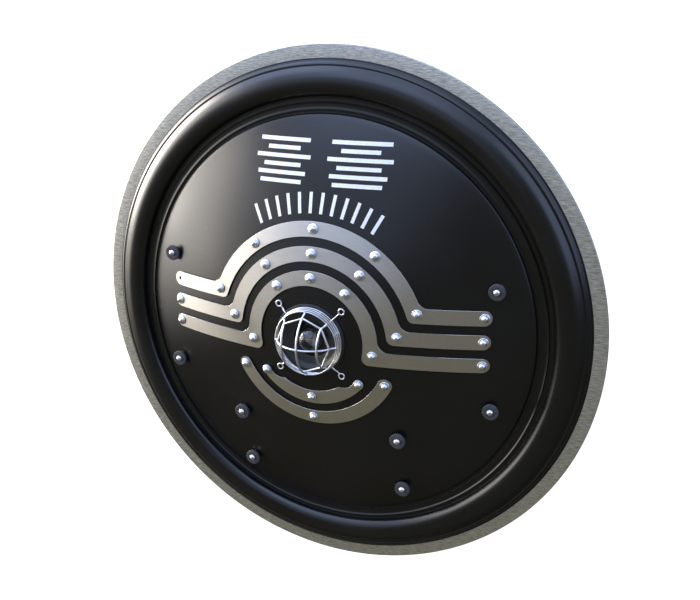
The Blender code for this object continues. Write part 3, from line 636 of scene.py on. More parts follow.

# %% [markdown]
# A stamped strip has slightly broken edges. A Bevel modifier could break them, but here the loops can do it
# at once: each has six points, for the flat underside, the upright sides, and a top that is drawn in a
# little. The sides are sheared and rougher than the top, so they take a finish of their own, painted dark as
# painted shade.

# %% Strip ribbon
def ribbon(pairs):
    """A solid ribbon over the dome, with a broken top edge, and sides and end faces painted dark as painted
    shade.
    """
    shoulder = STRIP_THICK - STRIP_EDGE
    loops = []
    for left, right in pairs:
        a, b = Vector(left), Vector(right)
        draw = (b - a).normalized() * STRIP_EDGE
        section = [
            (a, 0),
            (b, 0),
            (b, shoulder),
            (b - draw, STRIP_THICK),
            (a + draw, STRIP_THICK),
            (a, shoulder),
        ]
        loops.append([(p.x, p.y, dome_height(p.x, p.y, SEAT + up)) for p, up in section])
    bm = bmesh.new()
    sides, ends = skin(bm, loops)
    # The upright sides and the end faces take the second finish, which is painted dark as painted shade.
    upright = [face for number, face in enumerate(sides) if number % len(section) in (1, 5)]
    for face in upright + ends:
        face.material_index = 1
    return bm


def make_strip(node, pairs):
    strip = make_piece(f"{node}_satin", ribbon(pairs), strip_steel, [node])
    # The second slot holds the sides' finish, painted dark as painted shade.
    strip.data.materials.append(sheared_steel_painted_shade)
    return strip


UPPER = {"inner": 0, "middle": 1, "outer": 2}
strips = {}
for name, number in UPPER.items():
    pairs = both_halves(upper_pairs(INNER_ARC + STRIP_PITCH * number, INNER_WING_Y + STRIP_PITCH * number))
    strips[name] = make_strip(f"strip_upper_{name}", pairs)
print("upper strips:", [len(s.data.polygons) for s in strips.values()], "faces")

# %% [markdown]
# The two lower strips are plain arcs on the same centre. The upper one of them is cut back in two small
# bays, so that the guard's lower eyelets have room beside it. A Boolean could bite the bays out. Pushing
# the strip's inner edge out at each step gives the same line, and keeps the faces in even rows.

# %% Lower strips
LOWER_END_Y = -41.0 * MM
LEG_REACH = 48.2 * MM
EYELET_CLEAR = 13.4 * MM


def bay_radius(angle, radius):
    """The strip's inner edge, pushed out where it would come too near an eyelet."""
    off = angle + pi / 4
    across = LEG_REACH * sin(off)
    if abs(across) >= EYELET_CLEAR:
        return radius
    return max(radius, LEG_REACH * cos(off) + sqrt(EYELET_CLEAR ** 2 - across ** 2))


def lower_pairs(arc, bays):
    outer, inner = arc + STRIP_HALF, arc - STRIP_HALF
    start = asin((LOWER_END_Y - LAMP_Y) / arc)
    inner_start = bay_radius(start, inner) if bays else inner
    middle, half = (outer + inner_start) / 2, (outer - inner_start) / 2
    outward = (cos(start), sin(start))
    end = (middle * outward[0], middle * outward[1] + LAMP_Y)
    pairs = cap_pairs(end, (-outward[1], outward[0]), outward, half)
    steps = round(arc * (pi / 2 + start) / STEP) * 2
    for k in range(steps + 1):
        angle = start - (pi / 2 + start) * k / steps
        near = bay_radius(angle, inner) if bays else inner
        pairs.append(tuple((r * cos(angle), r * sin(angle) + LAMP_Y) for r in (outer, near)))
    return pairs, end


lower_ends = {}
for name, arc, bays in (("inner", INNER_ARC, True), ("outer", INNER_ARC + STRIP_PITCH, False)):
    pairs, lower_ends[name] = lower_pairs(arc, bays)
    strips[f"lower {name}"] = make_strip(f"strip_lower_{name}", both_halves(pairs))
print("lower strips end at", [tuple(round(v * 1000, 1) for v in e) for e in lower_ends.values()], "mm")

# %% [markdown]
# ## The strip screws
#
# Each upper strip has seven holes: one at the top of the arch, and on each side one at the shoulder, one
# at the elbow and one at the end. Each lower strip has three. Their places could be typed in one by one.
# Worked out from the strips' own sizes, they stay on the strips when those change.

# %% Places of the strip screws
ELBOW_TURNS = {"inner": -7.5, "middle": 8.3, "outer": 19.3}  # degrees round the lamp, as the next one
SHOULDER_TURN = 54.5


def screw_places():
    """Where the strip screws stand in plan, and the one hole that has none."""
    places = []
    for name, number in UPPER.items():
        arc = INNER_ARC + STRIP_PITCH * number
        elbow, lean = radians(ELBOW_TURNS[name]), radians(SHOULDER_TURN)
        reach = arc + STRIP_HALF / 3
        right = [
            (arc * cos(lean), arc * sin(lean) + LAMP_Y),
            (reach * cos(elbow), reach * sin(elbow) + LAMP_Y),
            (WING_END_X, INNER_WING_Y + STRIP_PITCH * number),
        ]
        places += [(0, arc + LAMP_Y)] + right + [(-x, y) for x, y in right]
    bare = places.pop()
    for name, arc in (("inner", INNER_ARC), ("outer", INNER_ARC + STRIP_PITCH)):
        x, y = lower_ends[name]
        places += [(0, LAMP_Y - arc), (x, y), (-x, y)]
    return places, bare


places, bare_place = screw_places()
print("strip screws:", len(places))

# %% [markdown]
# Each screw has a wide thin flange and a high domed head. Twenty-six separate meshes would all be the
# same, so one head is spun and the others are copies that share its mesh. The screws stand upright on the
# dome, so each copy is turned to the dome's own direction at its place.

# %% Strip screws
SCREW_SECTION = [
    (0, 4.0), (0.9, 3.93), (1.7, 3.7), (2.4, 3.3), (2.95, 2.75), (3.3, 2.1), (3.45, 1.5), (3.55, 1.2),
    (3.8, 1.05), (4.4, 1.0), (4.9, 0.9), (5.15, 0.65), (5.2, 0.3), (5.2, 0), (0, 0),
]


def make_copies(name, first, seats, node_name):
    """Places linked copies of a finished piece, one to each seat."""
    for number, seat in enumerate(seats, 1):
        copy = first if number == 1 else add_to_scene(bpy.data.objects.new("copy", first.data))
        copy.name = name.format(number)
        copy.matrix_world = seat
        settle(copy, [node_name.format(number)])


seats = [dome_seat(x, y, STRIP_THICK + 2 * SEAT) for x, y in places]
screw_section = [(r * MM, z * MM) for r, z in SCREW_SECTION]
first_screw = loose_piece(spun(screw_section, 40), screw_bright, 60)
make_copies("strip_screw_{:02d}_head", first_screw, seats, "strip_screw_{:02d}")
print("a strip screw is", round(2000 * screw_section[-2][0], 1), "mm across")

# %% [markdown]
# The outer strip's left end has a hole and no screw. A dark disc on top would look like a hole from the
# front alone. A Boolean drills a real one, and the hole's wall takes the cutter's black, as no light gets
# into it.

# %% Bare hole
HOLE = 2 * MM
DRILL_UP, DRILL_DOWN = 4 * MM, -2 * MM


def cut_from(piece, cutters):
    """Takes the cutters' shapes out of a piece for good, and removes them."""
    for cutter in cutters:
        cut = piece.modifiers.new("cut", "BOOLEAN")
        cut.operation = "DIFFERENCE"
        cut.material_mode = "TRANSFER"
        cut.object = cutter
    bpy.context.view_layer.update()
    result = bpy.data.meshes.new_from_object(piece.evaluated_get(bpy.context.evaluated_depsgraph_get()))
    result.set_sharp_from_angle(angle=radians(30))
    piece.modifiers.clear()
    piece.data = result
    for cutter in cutters:
        bpy.data.objects.remove(cutter)


drill = [(0, DRILL_UP), (HOLE, DRILL_UP), (HOLE, DRILL_DOWN), (0, DRILL_DOWN)]
cutter = loose_piece(spun(drill, 32), shell_black)
cutter.matrix_world = dome_seat(*bare_place, 0)
cut_from(strips["outer"], [cutter])
print("outer strip now has", len(strips["outer"].data.polygons), "faces")

# %% [markdown]
# ## Spacers
#
# Eight dark spacers stand round the dome. Each is a flat disc on a narrower neck, and a bright round-headed
# screw holds it down. They all stand parallel to the shield's axis, so on the slope of the dome the foot
# of each neck is cut at a slant. Sunk necks would look right too, but they would run through the dish. So
# we move the points of each foot onto the dome's own surface.

# %% Spacers
SPACER_TALL = 6.8 * MM
SPACER_BORE, SPACER_NECK, SPACER_DISC, NECK_TALL = 2.8, 5.8, 8.3, 4.0  # all in millimetres
SIDE_SPACERS = (178.6 * MM, (61.6 * MM, -61.9 * MM))
LOW_SPACERS = (89.5 * MM, (-103.1 * MM, -169.1 * MM))
spacer_corners = [
    (SPACER_BORE, 0, 0),
    (SPACER_NECK, 0, 0),
    (SPACER_NECK, NECK_TALL, 0.3),
    (SPACER_DISC, NECK_TALL, 0.4),
    (SPACER_DISC, SPACER_TALL / MM, 0.7),
    (4.6, SPACER_TALL / MM, 0.2),
    (4.4, SPACER_TALL / MM - 0.3, 0.2),
    (SPACER_BORE, SPACER_TALL / MM - 0.3, 0),
]


def upright_seat(x, y, lift=0.0):
    return Matrix.Translation((x, y, dome_height(x, y) + lift))


def spacer_places():
    """The eight places in plan: the side pairs first, then the lower four."""
    return [(sign * x, y) for x, ys in (SIDE_SPACERS, LOW_SPACERS) for y in ys for sign in (-1, 1)]


spacer_section = [(r * MM, z * MM) for r, z in rounded(spacer_corners, 4)]
for number, (x, y) in enumerate(spacer_places(), 1):
    turned = spun(spacer_section, 48)
    for point in turned.verts:
        if point.co.z < HAIR:  # A point of its foot, which moves onto the dome.
            point.co.z = dome_height(x + point.co.x, y + point.co.y, SEAT) - dome_height(x, y)
    spacer = loose_piece(turned, rubber)
    spacer.name = f"spacer_{number}_disc"
    spacer.matrix_world = upright_seat(x, y)
    settle(spacer, [f"spacer_{number}"])
print("spacers:", len(spacer_places()))

# %% [markdown]
# The spacers' screws have rounder heads with no flange, and their shanks run on through the dish into the
# straps and the box behind it. A thread would never be seen, so the shank is plain. They are spun and
# copied in the same way as the strip screws.

# %% Spacer screws
BOLT = 2.5 * MM
BOLT_BITE = 5.2 * MM
BOLT_END = -(SPACER_TALL + SEAT + SHELL_WALL + BOLT_BITE)
bolt_section = [(0, 2.6), (1.0, 2.52), (1.9, 2.2), (2.7, 1.6), (3.2, 0.9), (3.45, 0.3), (3.5, 0)]
bolt_section = [(r * MM, z * MM) for r, z in bolt_section] + [(BOLT, 0), (BOLT, BOLT_END), (0, BOLT_END)]
bolt_seats = [upright_seat(x, y, SPACER_TALL + SEAT) for x, y in spacer_places()]
first_bolt = loose_piece(spun(bolt_section, 40), screw_bright, 55)
make_copies("spacer_screw_{}_head", first_bolt, bolt_seats, "spacer_screw_{}")
print("spacer screws reach", round(-BOLT_END * 1000, 1), "mm down")

# %% [markdown]
# ## The lamp
#
# The lamp body is a black cup that passes through the shell and hangs on a flange. Inside it a glossy
# bowl runs down to a deep recess for the bulb. All of it is round, so once more one spun section makes
# the barrel, the cup, the flange and the bowl together, with a rounding at each corner.

# %% Lamp body
def moved_to_lamp(piece, nodes):
    """Settles a piece that was made round the axis, moved to the lamp's own middle."""
    piece.location = (0, LAMP_Y, 0)
    bpy.context.view_layer.update()
    return settle(piece, nodes)


FLANGE_TOP = DOME_TOP + 0.8 * MM
LAMP_FOOT = DOME_TOP - 22 * MM
LAMP_FLOOR = LAMP_FOOT + 2.5 * MM
CUP_FOOT = DOME_TOP - 9.5 * MM
BARREL, CUP, FLANGE, RECESS = 22.0 * MM, 33.0 * MM, 37.5 * MM, 18.2 * MM
LAMP_SHIFT = abs(LAMP_Y)  # The lamp's axis lies this far from the dome's.
body_corners = [
    (0, LAMP_FOOT, 0),
    (BARREL, LAMP_FOOT, 1 * MM),
    (BARREL, CUP_FOOT, 0.5 * MM),
    (CUP, CUP_FOOT + 2.5 * MM, 1 * MM),
    (CUP, dome_height(CUP - LAMP_SHIFT, 0) + SEAT, 0),
    (FLANGE, dome_height(FLANGE - LAMP_SHIFT, 0) + SEAT, 0),
    (FLANGE, FLANGE_TOP, 0.5 * MM),
    (31.5 * MM, FLANGE_TOP, 0.8 * MM),
    (27.0 * MM, FLANGE_TOP - 3.0 * MM, 4 * MM),
    (19.5 * MM, FLANGE_TOP - 4.5 * MM, 0.8 * MM),
    (RECESS, FLANGE_TOP - 8.0 * MM, 1 * MM),
    (RECESS, LAMP_FLOOR, 2 * MM),
    (0, LAMP_FLOOR, 0),
]
lamp_body = loose_piece(spun(rounded(body_corners), 128), lamp_black)
lamp_body.name = "lamp_base_cup"
moved_to_lamp(lamp_body, ["lamp_base"])
print("lamp body:", len(lamp_body.data.polygons), "faces")

# %% [markdown]
# A clear round bulb stands in the recess, and nothing covers it but the guard. A solid glass ball would
# work as a strong lens and turn the bowl upside down. A real bulb is a thin envelope, so its section is
# used twice: once for the outside, and once a wall further in, turned inside out.

# %% Bulb
BULB_RADIUS = 13 * MM
BULB_STEM = 5 * MM
BULB_WALL = 0.6 * MM
bulb_middle = DOME_TOP - 1.3 * MM
bulb_foot = LAMP_FLOOR + SEAT


def bulb_skin(inset):
    """One skin of the envelope, from the top of its ball down its stem to its foot."""
    ball, stem = BULB_RADIUS - inset, BULB_STEM - inset
    steps = 40
    turns = [pi * k / steps for k in range(steps)]
    turns = [turn for turn in turns if ball * sin(turn) > stem or turn < pi / 2]
    points = [(ball * sin(a), bulb_middle + ball * cos(a)) for a in turns]
    points[0] = (0, bulb_middle + ball)
    return points + [(stem, points[-1][1] - 2 * MM), (stem, bulb_foot + inset), (0, bulb_foot + inset)]


bulb = loose_piece(spun(bulb_skin(0), 64, closed=False), lamp_glass)
hollow = spun(bulb_skin(BULB_WALL), 64, closed=False)
bmesh.ops.recalc_face_normals(hollow, faces=hollow.faces)
bmesh.ops.reverse_faces(hollow, faces=hollow.faces)
hollow.from_mesh(bulb.data)
hollow.to_mesh(bulb.data)
hollow.free()
bulb.data.shade_smooth()
bulb.name = "lamp_bulb_glass"
moved_to_lamp(bulb, ["lamp_bulb"])
print("bulb:", len(bulb.data.polygons), "faces")

# %% [markdown]
# ## Wire
#
# Two things on the lamp are made of wire: the filament in its bulb, and the guard over it. Each wire
# could be a bent cylinder, but a curve with a bevel depth is a path with a round section already. The
# wires of a piece are turned to mesh at the end and joined, as if they were welded.

# %% Wire helpers
def wire_curve(points, radius, closed=False, bend=False):
    """A round wire through points, either straight between them or bent smoothly."""
    curve = bpy.data.curves.new("wire", "CURVE")
    curve.dimensions = "3D"
    curve.bevel_depth = radius
    curve.bevel_resolution = 3
    curve.resolution_u = 6
    curve.use_fill_caps = True
    spline = curve.splines.new("BEZIER" if bend else "POLY")
    if bend:
        spline.bezier_points.add(len(points) - 1)
        for knot, point in zip(spline.bezier_points, points):
            knot.co = point
            knot.handle_left_type = knot.handle_right_type = "AUTO"
    else:
        spline.points.add(len(points) - 1)
        for knot, point in zip(spline.points, points):
            knot.co = (*point, 1)
    spline.use_cyclic_u = closed
    return add_to_scene(bpy.data.objects.new("wire", curve))


def round_ring(radius, height, count, middle=(0, 0)):
    last_turn = 2 * pi * (1 - 1 / count)
    return [Vector((x, y, height)) for x, y in arc_points(middle, radius, 0, last_turn, count)]


def welded_wires(wires, finish):
    """Turns wire curves into one mesh piece."""
    welded = bmesh.new()
    for wire in wires:
        bpy.context.view_layer.update()
        as_mesh = bpy.data.meshes.new_from_object(wire.evaluated_get(bpy.context.evaluated_depsgraph_get()))
        welded.from_mesh(as_mesh)
        bpy.data.objects.remove(wire)
        bpy.data.meshes.remove(as_mesh)
    return loose_piece(welded, finish)


print("wire helpers ready")

# %% [markdown]
# Inside the bulb, two holders rise from the stem and a fine coil hangs between them. A straight wire would
# do from afar, but a coil catches the light in small turns. It is one curve that winds round a level line.

# %% Filament of the bulb
HOLDER_WIRE, COIL_WIRE = 0.3 * MM, 0.16 * MM
COIL_HALF, COIL_RADIUS = 4.5 * MM, 0.7 * MM
COIL_TURNS, TURN_STEPS = 12, 12


def filament_wires():
    low, high = bulb_middle - 9 * MM, bulb_middle + 1.5 * MM
    wires = []
    for side in (-1, 1):
        holder = [
            Vector((side * 1.6 * MM, 0, low)),
            Vector((side * 2.2 * MM, 0, bulb_middle - 4 * MM)),
            Vector((side * COIL_HALF, 0, high)),
        ]
        wires.append(wire_curve(holder, HOLDER_WIRE, bend=True))
    coil = []
    for k in range(COIL_TURNS * TURN_STEPS + 1):
        across = COIL_HALF * (2 * k / (COIL_TURNS * TURN_STEPS) - 1)
        turn = 2 * pi * k / TURN_STEPS
        coil.append(Vector((across, COIL_RADIUS * cos(turn), high + COIL_RADIUS * sin(turn))))
    return wires + [wire_curve(coil, COIL_WIRE)]


filament = welded_wires(filament_wires(), brass)
filament.name = "lamp_bulb_filament"
moved_to_lamp(filament, [])
print("filament:", len(filament.data.polygons), "faces")

# %% [markdown]
# ## The guard
#
# The guard is a cage of bright wire: a stack of rings for a collar, an eight-sided ring higher up, four
# arched wires over it, and four legs that end in eyelets. Each bend could be placed in space by hand. The
# real cage bulges like a ball, so every wire is given in plan alone, and a ball gives its height.

# %% Sizes of the guard
WIRE = 1.0 * MM
COLLAR_MIDDLE = 33.9 * MM
COLLAR_LOW, COLLAR_HIGH = DOME_TOP + 2.2 * MM, DOME_TOP + 11.0 * MM
COLLAR_RINGS = 4
COLLAR_WIRE = 0.6 * MM
COLLAR_TAPER = 1.4 * MM
COLLAR_TIES = 8
GUARD_BALL = 34.5 * MM
BALL_MIDDLE = DOME_TOP + 32 * MM - GUARD_BALL
CROWN_RADIUS = 28.3 * MM
SIDE_WIRE_X = 19.0 * MM
EYELET_RADIUS = 3.0 * MM
EYELET_WIRE = 0.78 * MM
EYELET_LIFT = 2.2 * MM


def guard_point(x, y, drop=0.0):
    """A point of the cage over x, y: on its ball, but never below the collar's top."""
    on_ball = BALL_MIDDLE + sqrt(max(0, GUARD_BALL ** 2 - x * x - y * y))
    return Vector((x, y, max(on_ball - drop, COLLAR_HIGH)))


print("collar from", round(COLLAR_LOW * 1000, 1), "to", round(COLLAR_HIGH * 1000, 1), "mm")

# %% [markdown]
# The collar could be one ribbed tube, but light falls through the gaps of a real one. So it is four rings
# tied by eight short wires, and the rings draw in a little towards the top, so that each shows beside the
# next from above. The arches get more points near the collar, where the ball is steep.

# %% Collar, ring and arches
def guard_wires():
    """The collar, the eight-sided ring and the arched wires."""
    wires = []
    for k in range(COLLAR_RINGS):
        share = k / (COLLAR_RINGS - 1)
        height = COLLAR_LOW + (COLLAR_HIGH - COLLAR_LOW) * share
        radius = COLLAR_MIDDLE + COLLAR_TAPER * (0.5 - share)
        wires.append(wire_curve(round_ring(radius, height, 96), COLLAR_WIRE, closed=True))
    tie = COLLAR_MIDDLE - 2 * COLLAR_WIRE
    for x, y in arc_points((0, 0), tie, pi / 8, 15 * pi / 8, COLLAR_TIES):
        foot = Vector((x, y, 0)) * ((tie + COLLAR_TAPER) / tie) + Vector((0, 0, COLLAR_LOW))
        wires.append(wire_curve([foot, Vector((x, y, COLLAR_HIGH))], COLLAR_WIRE))
    corners = [guard_point(x, y, 0.6 * MM) for x, y in arc_points((0, 0), CROWN_RADIUS, 0, 7 * pi / 4, 8)]
    wires.append(wire_curve(corners, WIRE, closed=True))
    shares = [sin(pi / 2 * k / 10) for k in range(-10, 11)]
    wires.append(wire_curve([guard_point(COLLAR_MIDDLE * s, 0, 1.2 * MM) for s in shares], WIRE, bend=True))
    wires.append(wire_curve([guard_point(0, COLLAR_MIDDLE * s) for s in shares], WIRE, bend=True))
    corner, collar = CROWN_RADIUS * cos(pi / 4), COLLAR_MIDDLE * cos(pi / 4)
    upper = [(collar, collar), (corner + 2 * MM, corner + 2 * MM), (corner, corner),
             (SIDE_WIRE_X + 0.3 * MM, corner * 0.6), (SIDE_WIRE_X, corner * 0.3), (SIDE_WIRE_X, 0)]
    plan = upper + [(x, -y) for x, y in upper[-2::-1]]
    for side in (-1, 1):
        wires.append(wire_curve([guard_point(side * x, y) for x, y in plan], WIRE, bend=True))
    return wires


cage = guard_wires()
print("wires in the cage:", len(cage))

# %% [markdown]
# Each leg leaves the collar's lowest ring, dips, and runs out to an eyelet that lies over the dome. It
# could be a straight line to the eyelet, but a bent wire shows the spring that holds it down. Four points
# and a smooth curve are enough for the bend. Then all the wires are welded into one piece.

# %% Legs, and the weld
def leg_wires():
    """The four legs with their eyelets."""
    wires = []
    for sx, sy in ((-1, -1), (-1, 1), (1, -1), (1, 1)):
        out = Vector((sx, sy, 0)).normalized()
        eye = out * LEG_REACH
        on_dome = dome_height(eye.x, eye.y + LAMP_Y) + EYELET_LIFT
        path = [
            out * COLLAR_MIDDLE + Vector((0, 0, COLLAR_LOW)),
            out * (COLLAR_MIDDLE + 4.5 * MM) + Vector((0, 0, COLLAR_LOW - 0.5 * MM)),
            out * (LEG_REACH - EYELET_RADIUS - 3.5 * MM) + Vector((0, 0, on_dome + 0.3 * MM)),
            out * (LEG_REACH - EYELET_RADIUS) + Vector((0, 0, on_dome)),
        ]
        wires.append(wire_curve(path, EYELET_WIRE, bend=True))
        eyelet = round_ring(EYELET_RADIUS, on_dome, 32, (eye.x, eye.y))
        wires.append(wire_curve(eyelet, EYELET_WIRE, closed=True))
    return wires


guard = welded_wires(cage + leg_wires(), guard_bright)
guard.name = "lamp_guard_wires"
moved_to_lamp(guard, ["lamp_guard"])
print("guard:", len(guard.data.polygons), "faces")

# %% [markdown]
# ## The straps
#
# Behind the shell, one strap goes round the fingers and a wider one round the forearm. Each is a flat
# band of webbing that runs down from its upper screw, crosses the hollow close to the floor, and runs up
# again. A cloth simulation could hang it, but webbing this stiff keeps a simple bow. So its height follows
# a smooth step between the dome and the floor.

# %% The bow of a strap
STRAP_TAB = 5.0 * MM
STRAP_THICK = 3.5 * MM
STRAP_OVER = 10 * MM
STRAP_FLOOR = 1.8 * MM
STRAP_TURN = 17 * MM
STRAP_EDGE = 1.2 * MM
STRAP_CORNER = 5 * MM
STRAP_STEPS = 90
BOLT_HOLE = 2.75 * MM
STRAPS = {"hand_strap": (1, 34 * MM), "arm_strap": (-1, 42 * MM)}


def dish_underside(x, y):
    """The height of the dome's inner face over x, y, less the small gap that all seats have."""
    return dome_height(x, y, -SHELL_WALL - SEAT)


def strap_rules(y):
    """How far the strap has dropped to its low middle at y, from 0 to 1, and its thickness there."""
    top_y, low_y = SIDE_SPACERS[1]
    inside = min(top_y - STRAP_OVER - y, y - low_y - STRAP_OVER)
    share = min(1, max(0, inside / STRAP_TURN))
    drop = share * share * (3 - 2 * share)
    return drop, STRAP_TAB + (STRAP_THICK - STRAP_TAB) * drop


def strap_top(x, y):
    drop = strap_rules(y)[0]
    return dish_underside(x, y) * (1 - drop) + (STRAP_FLOOR + STRAP_THICK) * drop


print("middle of the hand strap is", round(strap_top(SIDE_SPACERS[0], 0) * 1000, 1), "mm over the floor")

# %% [markdown]
# A strap's ends are cut round, and its long edges are soft. An extruded bar would have square ends and
# knife edges. So the loops draw in towards each end, and their outermost points stand a little inside the
# band's thickness. A Boolean then drills the two screw holes.

# %% Straps
def strap_mesh(middle, wide):
    top_y, low_y = SIDE_SPACERS[1]
    start, end = top_y + STRAP_OVER, low_y - STRAP_OVER
    loops = []
    for k in range(STRAP_STEPS + 1):
        y = start + (end - start) * k / STRAP_STEPS
        from_end = min(y - end, start - y)
        corner = max(0, STRAP_CORNER - from_end)
        half = wide / 2 - (STRAP_CORNER - sqrt(STRAP_CORNER ** 2 - corner ** 2))
        thick = strap_rules(y)[1]
        across = [-half, -half + STRAP_EDGE] + [half * s for s in (-0.5, 0, 0.5)] + [half - STRAP_EDGE, half]
        upper = [(x, 0 if abs(x) < half else -STRAP_EDGE) for x in across]
        lower = [(x, -thick + (0 if abs(x) < half else STRAP_EDGE)) for x in across[::-1]]
        loops.append([(middle + x, y, strap_top(middle + x, y) + z) for x, z in upper + lower])
    bm = bmesh.new()
    skin(bm, loops)
    return bm


def bolt_cutter(x, y):
    """A drill for a screw hole, tall enough to pass through any strap."""
    low, high = -2 * MM, 40 * MM
    hole = loose_piece(spun([(0, high), (BOLT_HOLE, high), (BOLT_HOLE, low), (0, low)], 32), webbing)
    hole.matrix_world = Matrix.Translation((x, y, 0))
    return hole


for name, (side, wide) in STRAPS.items():
    middle = side * SIDE_SPACERS[0]
    strap = make_piece(f"{name}_band", strap_mesh(middle, wide), webbing, [name], sharp=50)
    cut_from(strap, [bolt_cutter(middle, y) for y in SIDE_SPACERS[1]])
    print(name, "has", len(strap.data.polygons), "faces")

# %% [markdown]
# A row of stitches runs along each edge of a strap, on the side that faces the hand. Bump could hint at
# them, but they are what makes a strap look sewn when it is seen close. So each stitch is a short thread
# of its own, pulled down into the webbing at both ends.

# %% Stitches
STITCH = 3.0 * MM
STITCH_GAP = 1.2 * MM
STITCH_HALF = 0.45 * MM
STITCH_INSET = 4.0 * MM
STITCH_START = 6 * MM


def stitch_mesh(bm, x, y):
    """Adds one stitch on the strap's underside, from y downwards along the strap."""
    narrow = STITCH_HALF * 0.6
    loops = []
    for share, sink in ((0, 0.25), (0.25, -0.3), (0.75, -0.3), (1, 0.25)):
        at = y - STITCH * share
        base = strap_top(x, at) - strap_rules(at)[1]
        loops.append([
            (x - STITCH_HALF, at, base + 0.3 * MM),
            (x + STITCH_HALF, at, base + 0.3 * MM),
            (x + narrow, at, base + sink * MM),
            (x - narrow, at, base + sink * MM),
        ])
    skin(bm, loops)


for name, (side, wide) in STRAPS.items():
    sewn = bmesh.new()
    top_y, low_y = SIDE_SPACERS[1]
    pitch = STITCH + STITCH_GAP
    count = int((top_y - low_y + 2 * STRAP_OVER - 2 * STITCH_START) / pitch)
    for off in (-wide / 2 + STITCH_INSET, wide / 2 - STITCH_INSET):
        for k in range(count):
            stitch_mesh(sewn, side * SIDE_SPACERS[0] + off, top_y + STRAP_OVER - STITCH_START - k * pitch)
    make_piece(f"{name}_stitches", sewn, thread, [])
    print(name, "has", count * 2, "stitches")

# %% [markdown]
# ## The battery box
#
# A shallow moulded tray closes against the underside of the dome and holds the lamp's cells. Four posts
# inside it take the lower spacer screws. A box cut off by a Boolean would follow the dome too, but a tray
# made from loops has its rim laid exactly on the dome's inner face. All the loops are one rounded
# rectangle, drawn in by more or less.

# %% Outline of the battery box
BOX_HALF_X = LOW_SPACERS[0] + 11 * MM
BOX_HIGH_Y = LOW_SPACERS[1][0] + 9.5 * MM
BOX_LOW_Y = LOW_SPACERS[1][1] - 9.5 * MM
BOX_CORNER = 9 * MM
BOX_FOOT = 3.5 * MM
BOX_WALL = 2.5 * MM
BOX_ROUND = 2.0 * MM
BOX_POST = 6.0 * MM
LID_INSET = 9 * MM
LID_GROOVE = 0.9 * MM
GROOVE_DEEP = 0.7 * MM


def box_loop(inset, height):
    """A rounded plan outline of the box, drawn in by inset. The height is a number or a rule of x and y."""
    corner = max(1 * MM, BOX_CORNER - inset)
    right, top, bottom = BOX_HALF_X - inset - corner, BOX_HIGH_Y - inset - corner, BOX_LOW_Y + inset + corner
    plan = []
    centres = [(right, top), (-right, top), (-right, bottom), (right, bottom)]
    for number, centre in enumerate(centres):
        arc = arc_points(centre, corner, pi / 2 * number, pi / 2 * (number + 1), 9)
        following = centres[(number + 1) % 4]
        onward = arc_points(following, corner, pi / 2 * (number + 1), pi, 2)[0]
        steps = 24 if number % 2 == 0 else 10
        plan += arc + [tuple(Vector(arc[-1]).lerp(Vector(onward), k / steps)) for k in range(1, steps)]
    return [(x, y, height(x, y) if callable(height) else height) for x, y in plan]


print("battery box:", [round(v * 1000) for v in (2 * BOX_HALF_X, BOX_HIGH_Y - BOX_LOW_Y)], "mm in plan")

# %% [markdown]
# The lid would be a piece of its own on a real box, but only the gap round it shows. So a shallow groove in
# the tray's foot stands for it. The loops start at that groove, go round the soft foot edge, up the wall,
# and down again inside.

# %% Battery box
def box_mesh():
    foot, groove = BOX_FOOT, BOX_FOOT + GROOVE_DEEP
    rules = [
        (LID_INSET + LID_GROOVE, foot),
        (LID_INSET + LID_GROOVE, groove),
        (LID_INSET, groove),
        (LID_INSET, foot),
    ]
    for k in range(6):
        turn = pi / 2 * k / 5
        rules.append((BOX_ROUND * (1 - sin(turn)), foot + BOX_ROUND * (1 - cos(turn))))
    rules += [(0, dish_underside), (BOX_WALL, dish_underside), (BOX_WALL, foot + BOX_WALL)]
    bm = bmesh.new()
    skin(bm, [box_loop(inset, height) for inset, height in rules])
    return bm


box = make_piece("battery_box_tray", box_mesh(), lamp_black, ["battery_box"], sharp=30)
print("battery box:", len(box.data.polygons), "faces")

# %% [markdown]
# The posts are tubes from the tray's floor up to the dome. The dome slopes over them, so a tube as tall
# as its middle would stick out on the low side. Each one stops where the dome is lowest over it.

# %% Posts of the battery box
posts = bmesh.new()
for x, y in spacer_places()[4:]:
    slope = hypot(x, y) / (dome_height(x, y) - DOME_CENTRE)
    top, low = dish_underside(x, y) - BOX_POST * slope, BOX_FOOT + BOX_WALL - SEAT
    tube = spun([(BOLT_HOLE, low), (BOX_POST, low), (BOX_POST, top), (BOLT_HOLE, top)], 40)
    tube.transform(Matrix.Translation((x, y, 0)))
    as_mesh = bpy.data.meshes.new("post")
    tube.to_mesh(as_mesh)
    tube.free()
    posts.from_mesh(as_mesh)
    bpy.data.meshes.remove(as_mesh)
made = make_piece("battery_box_posts", posts, lamp_black, [])
print("box posts:", len(made.data.polygons), "faces")

# %% [markdown]
# A row of raised ribs at one end of the lid gives the thumb a grip. They are too small to need rounding:
# each is a bar whose top is drawn in, so its long edges lean and catch a soft line of light.

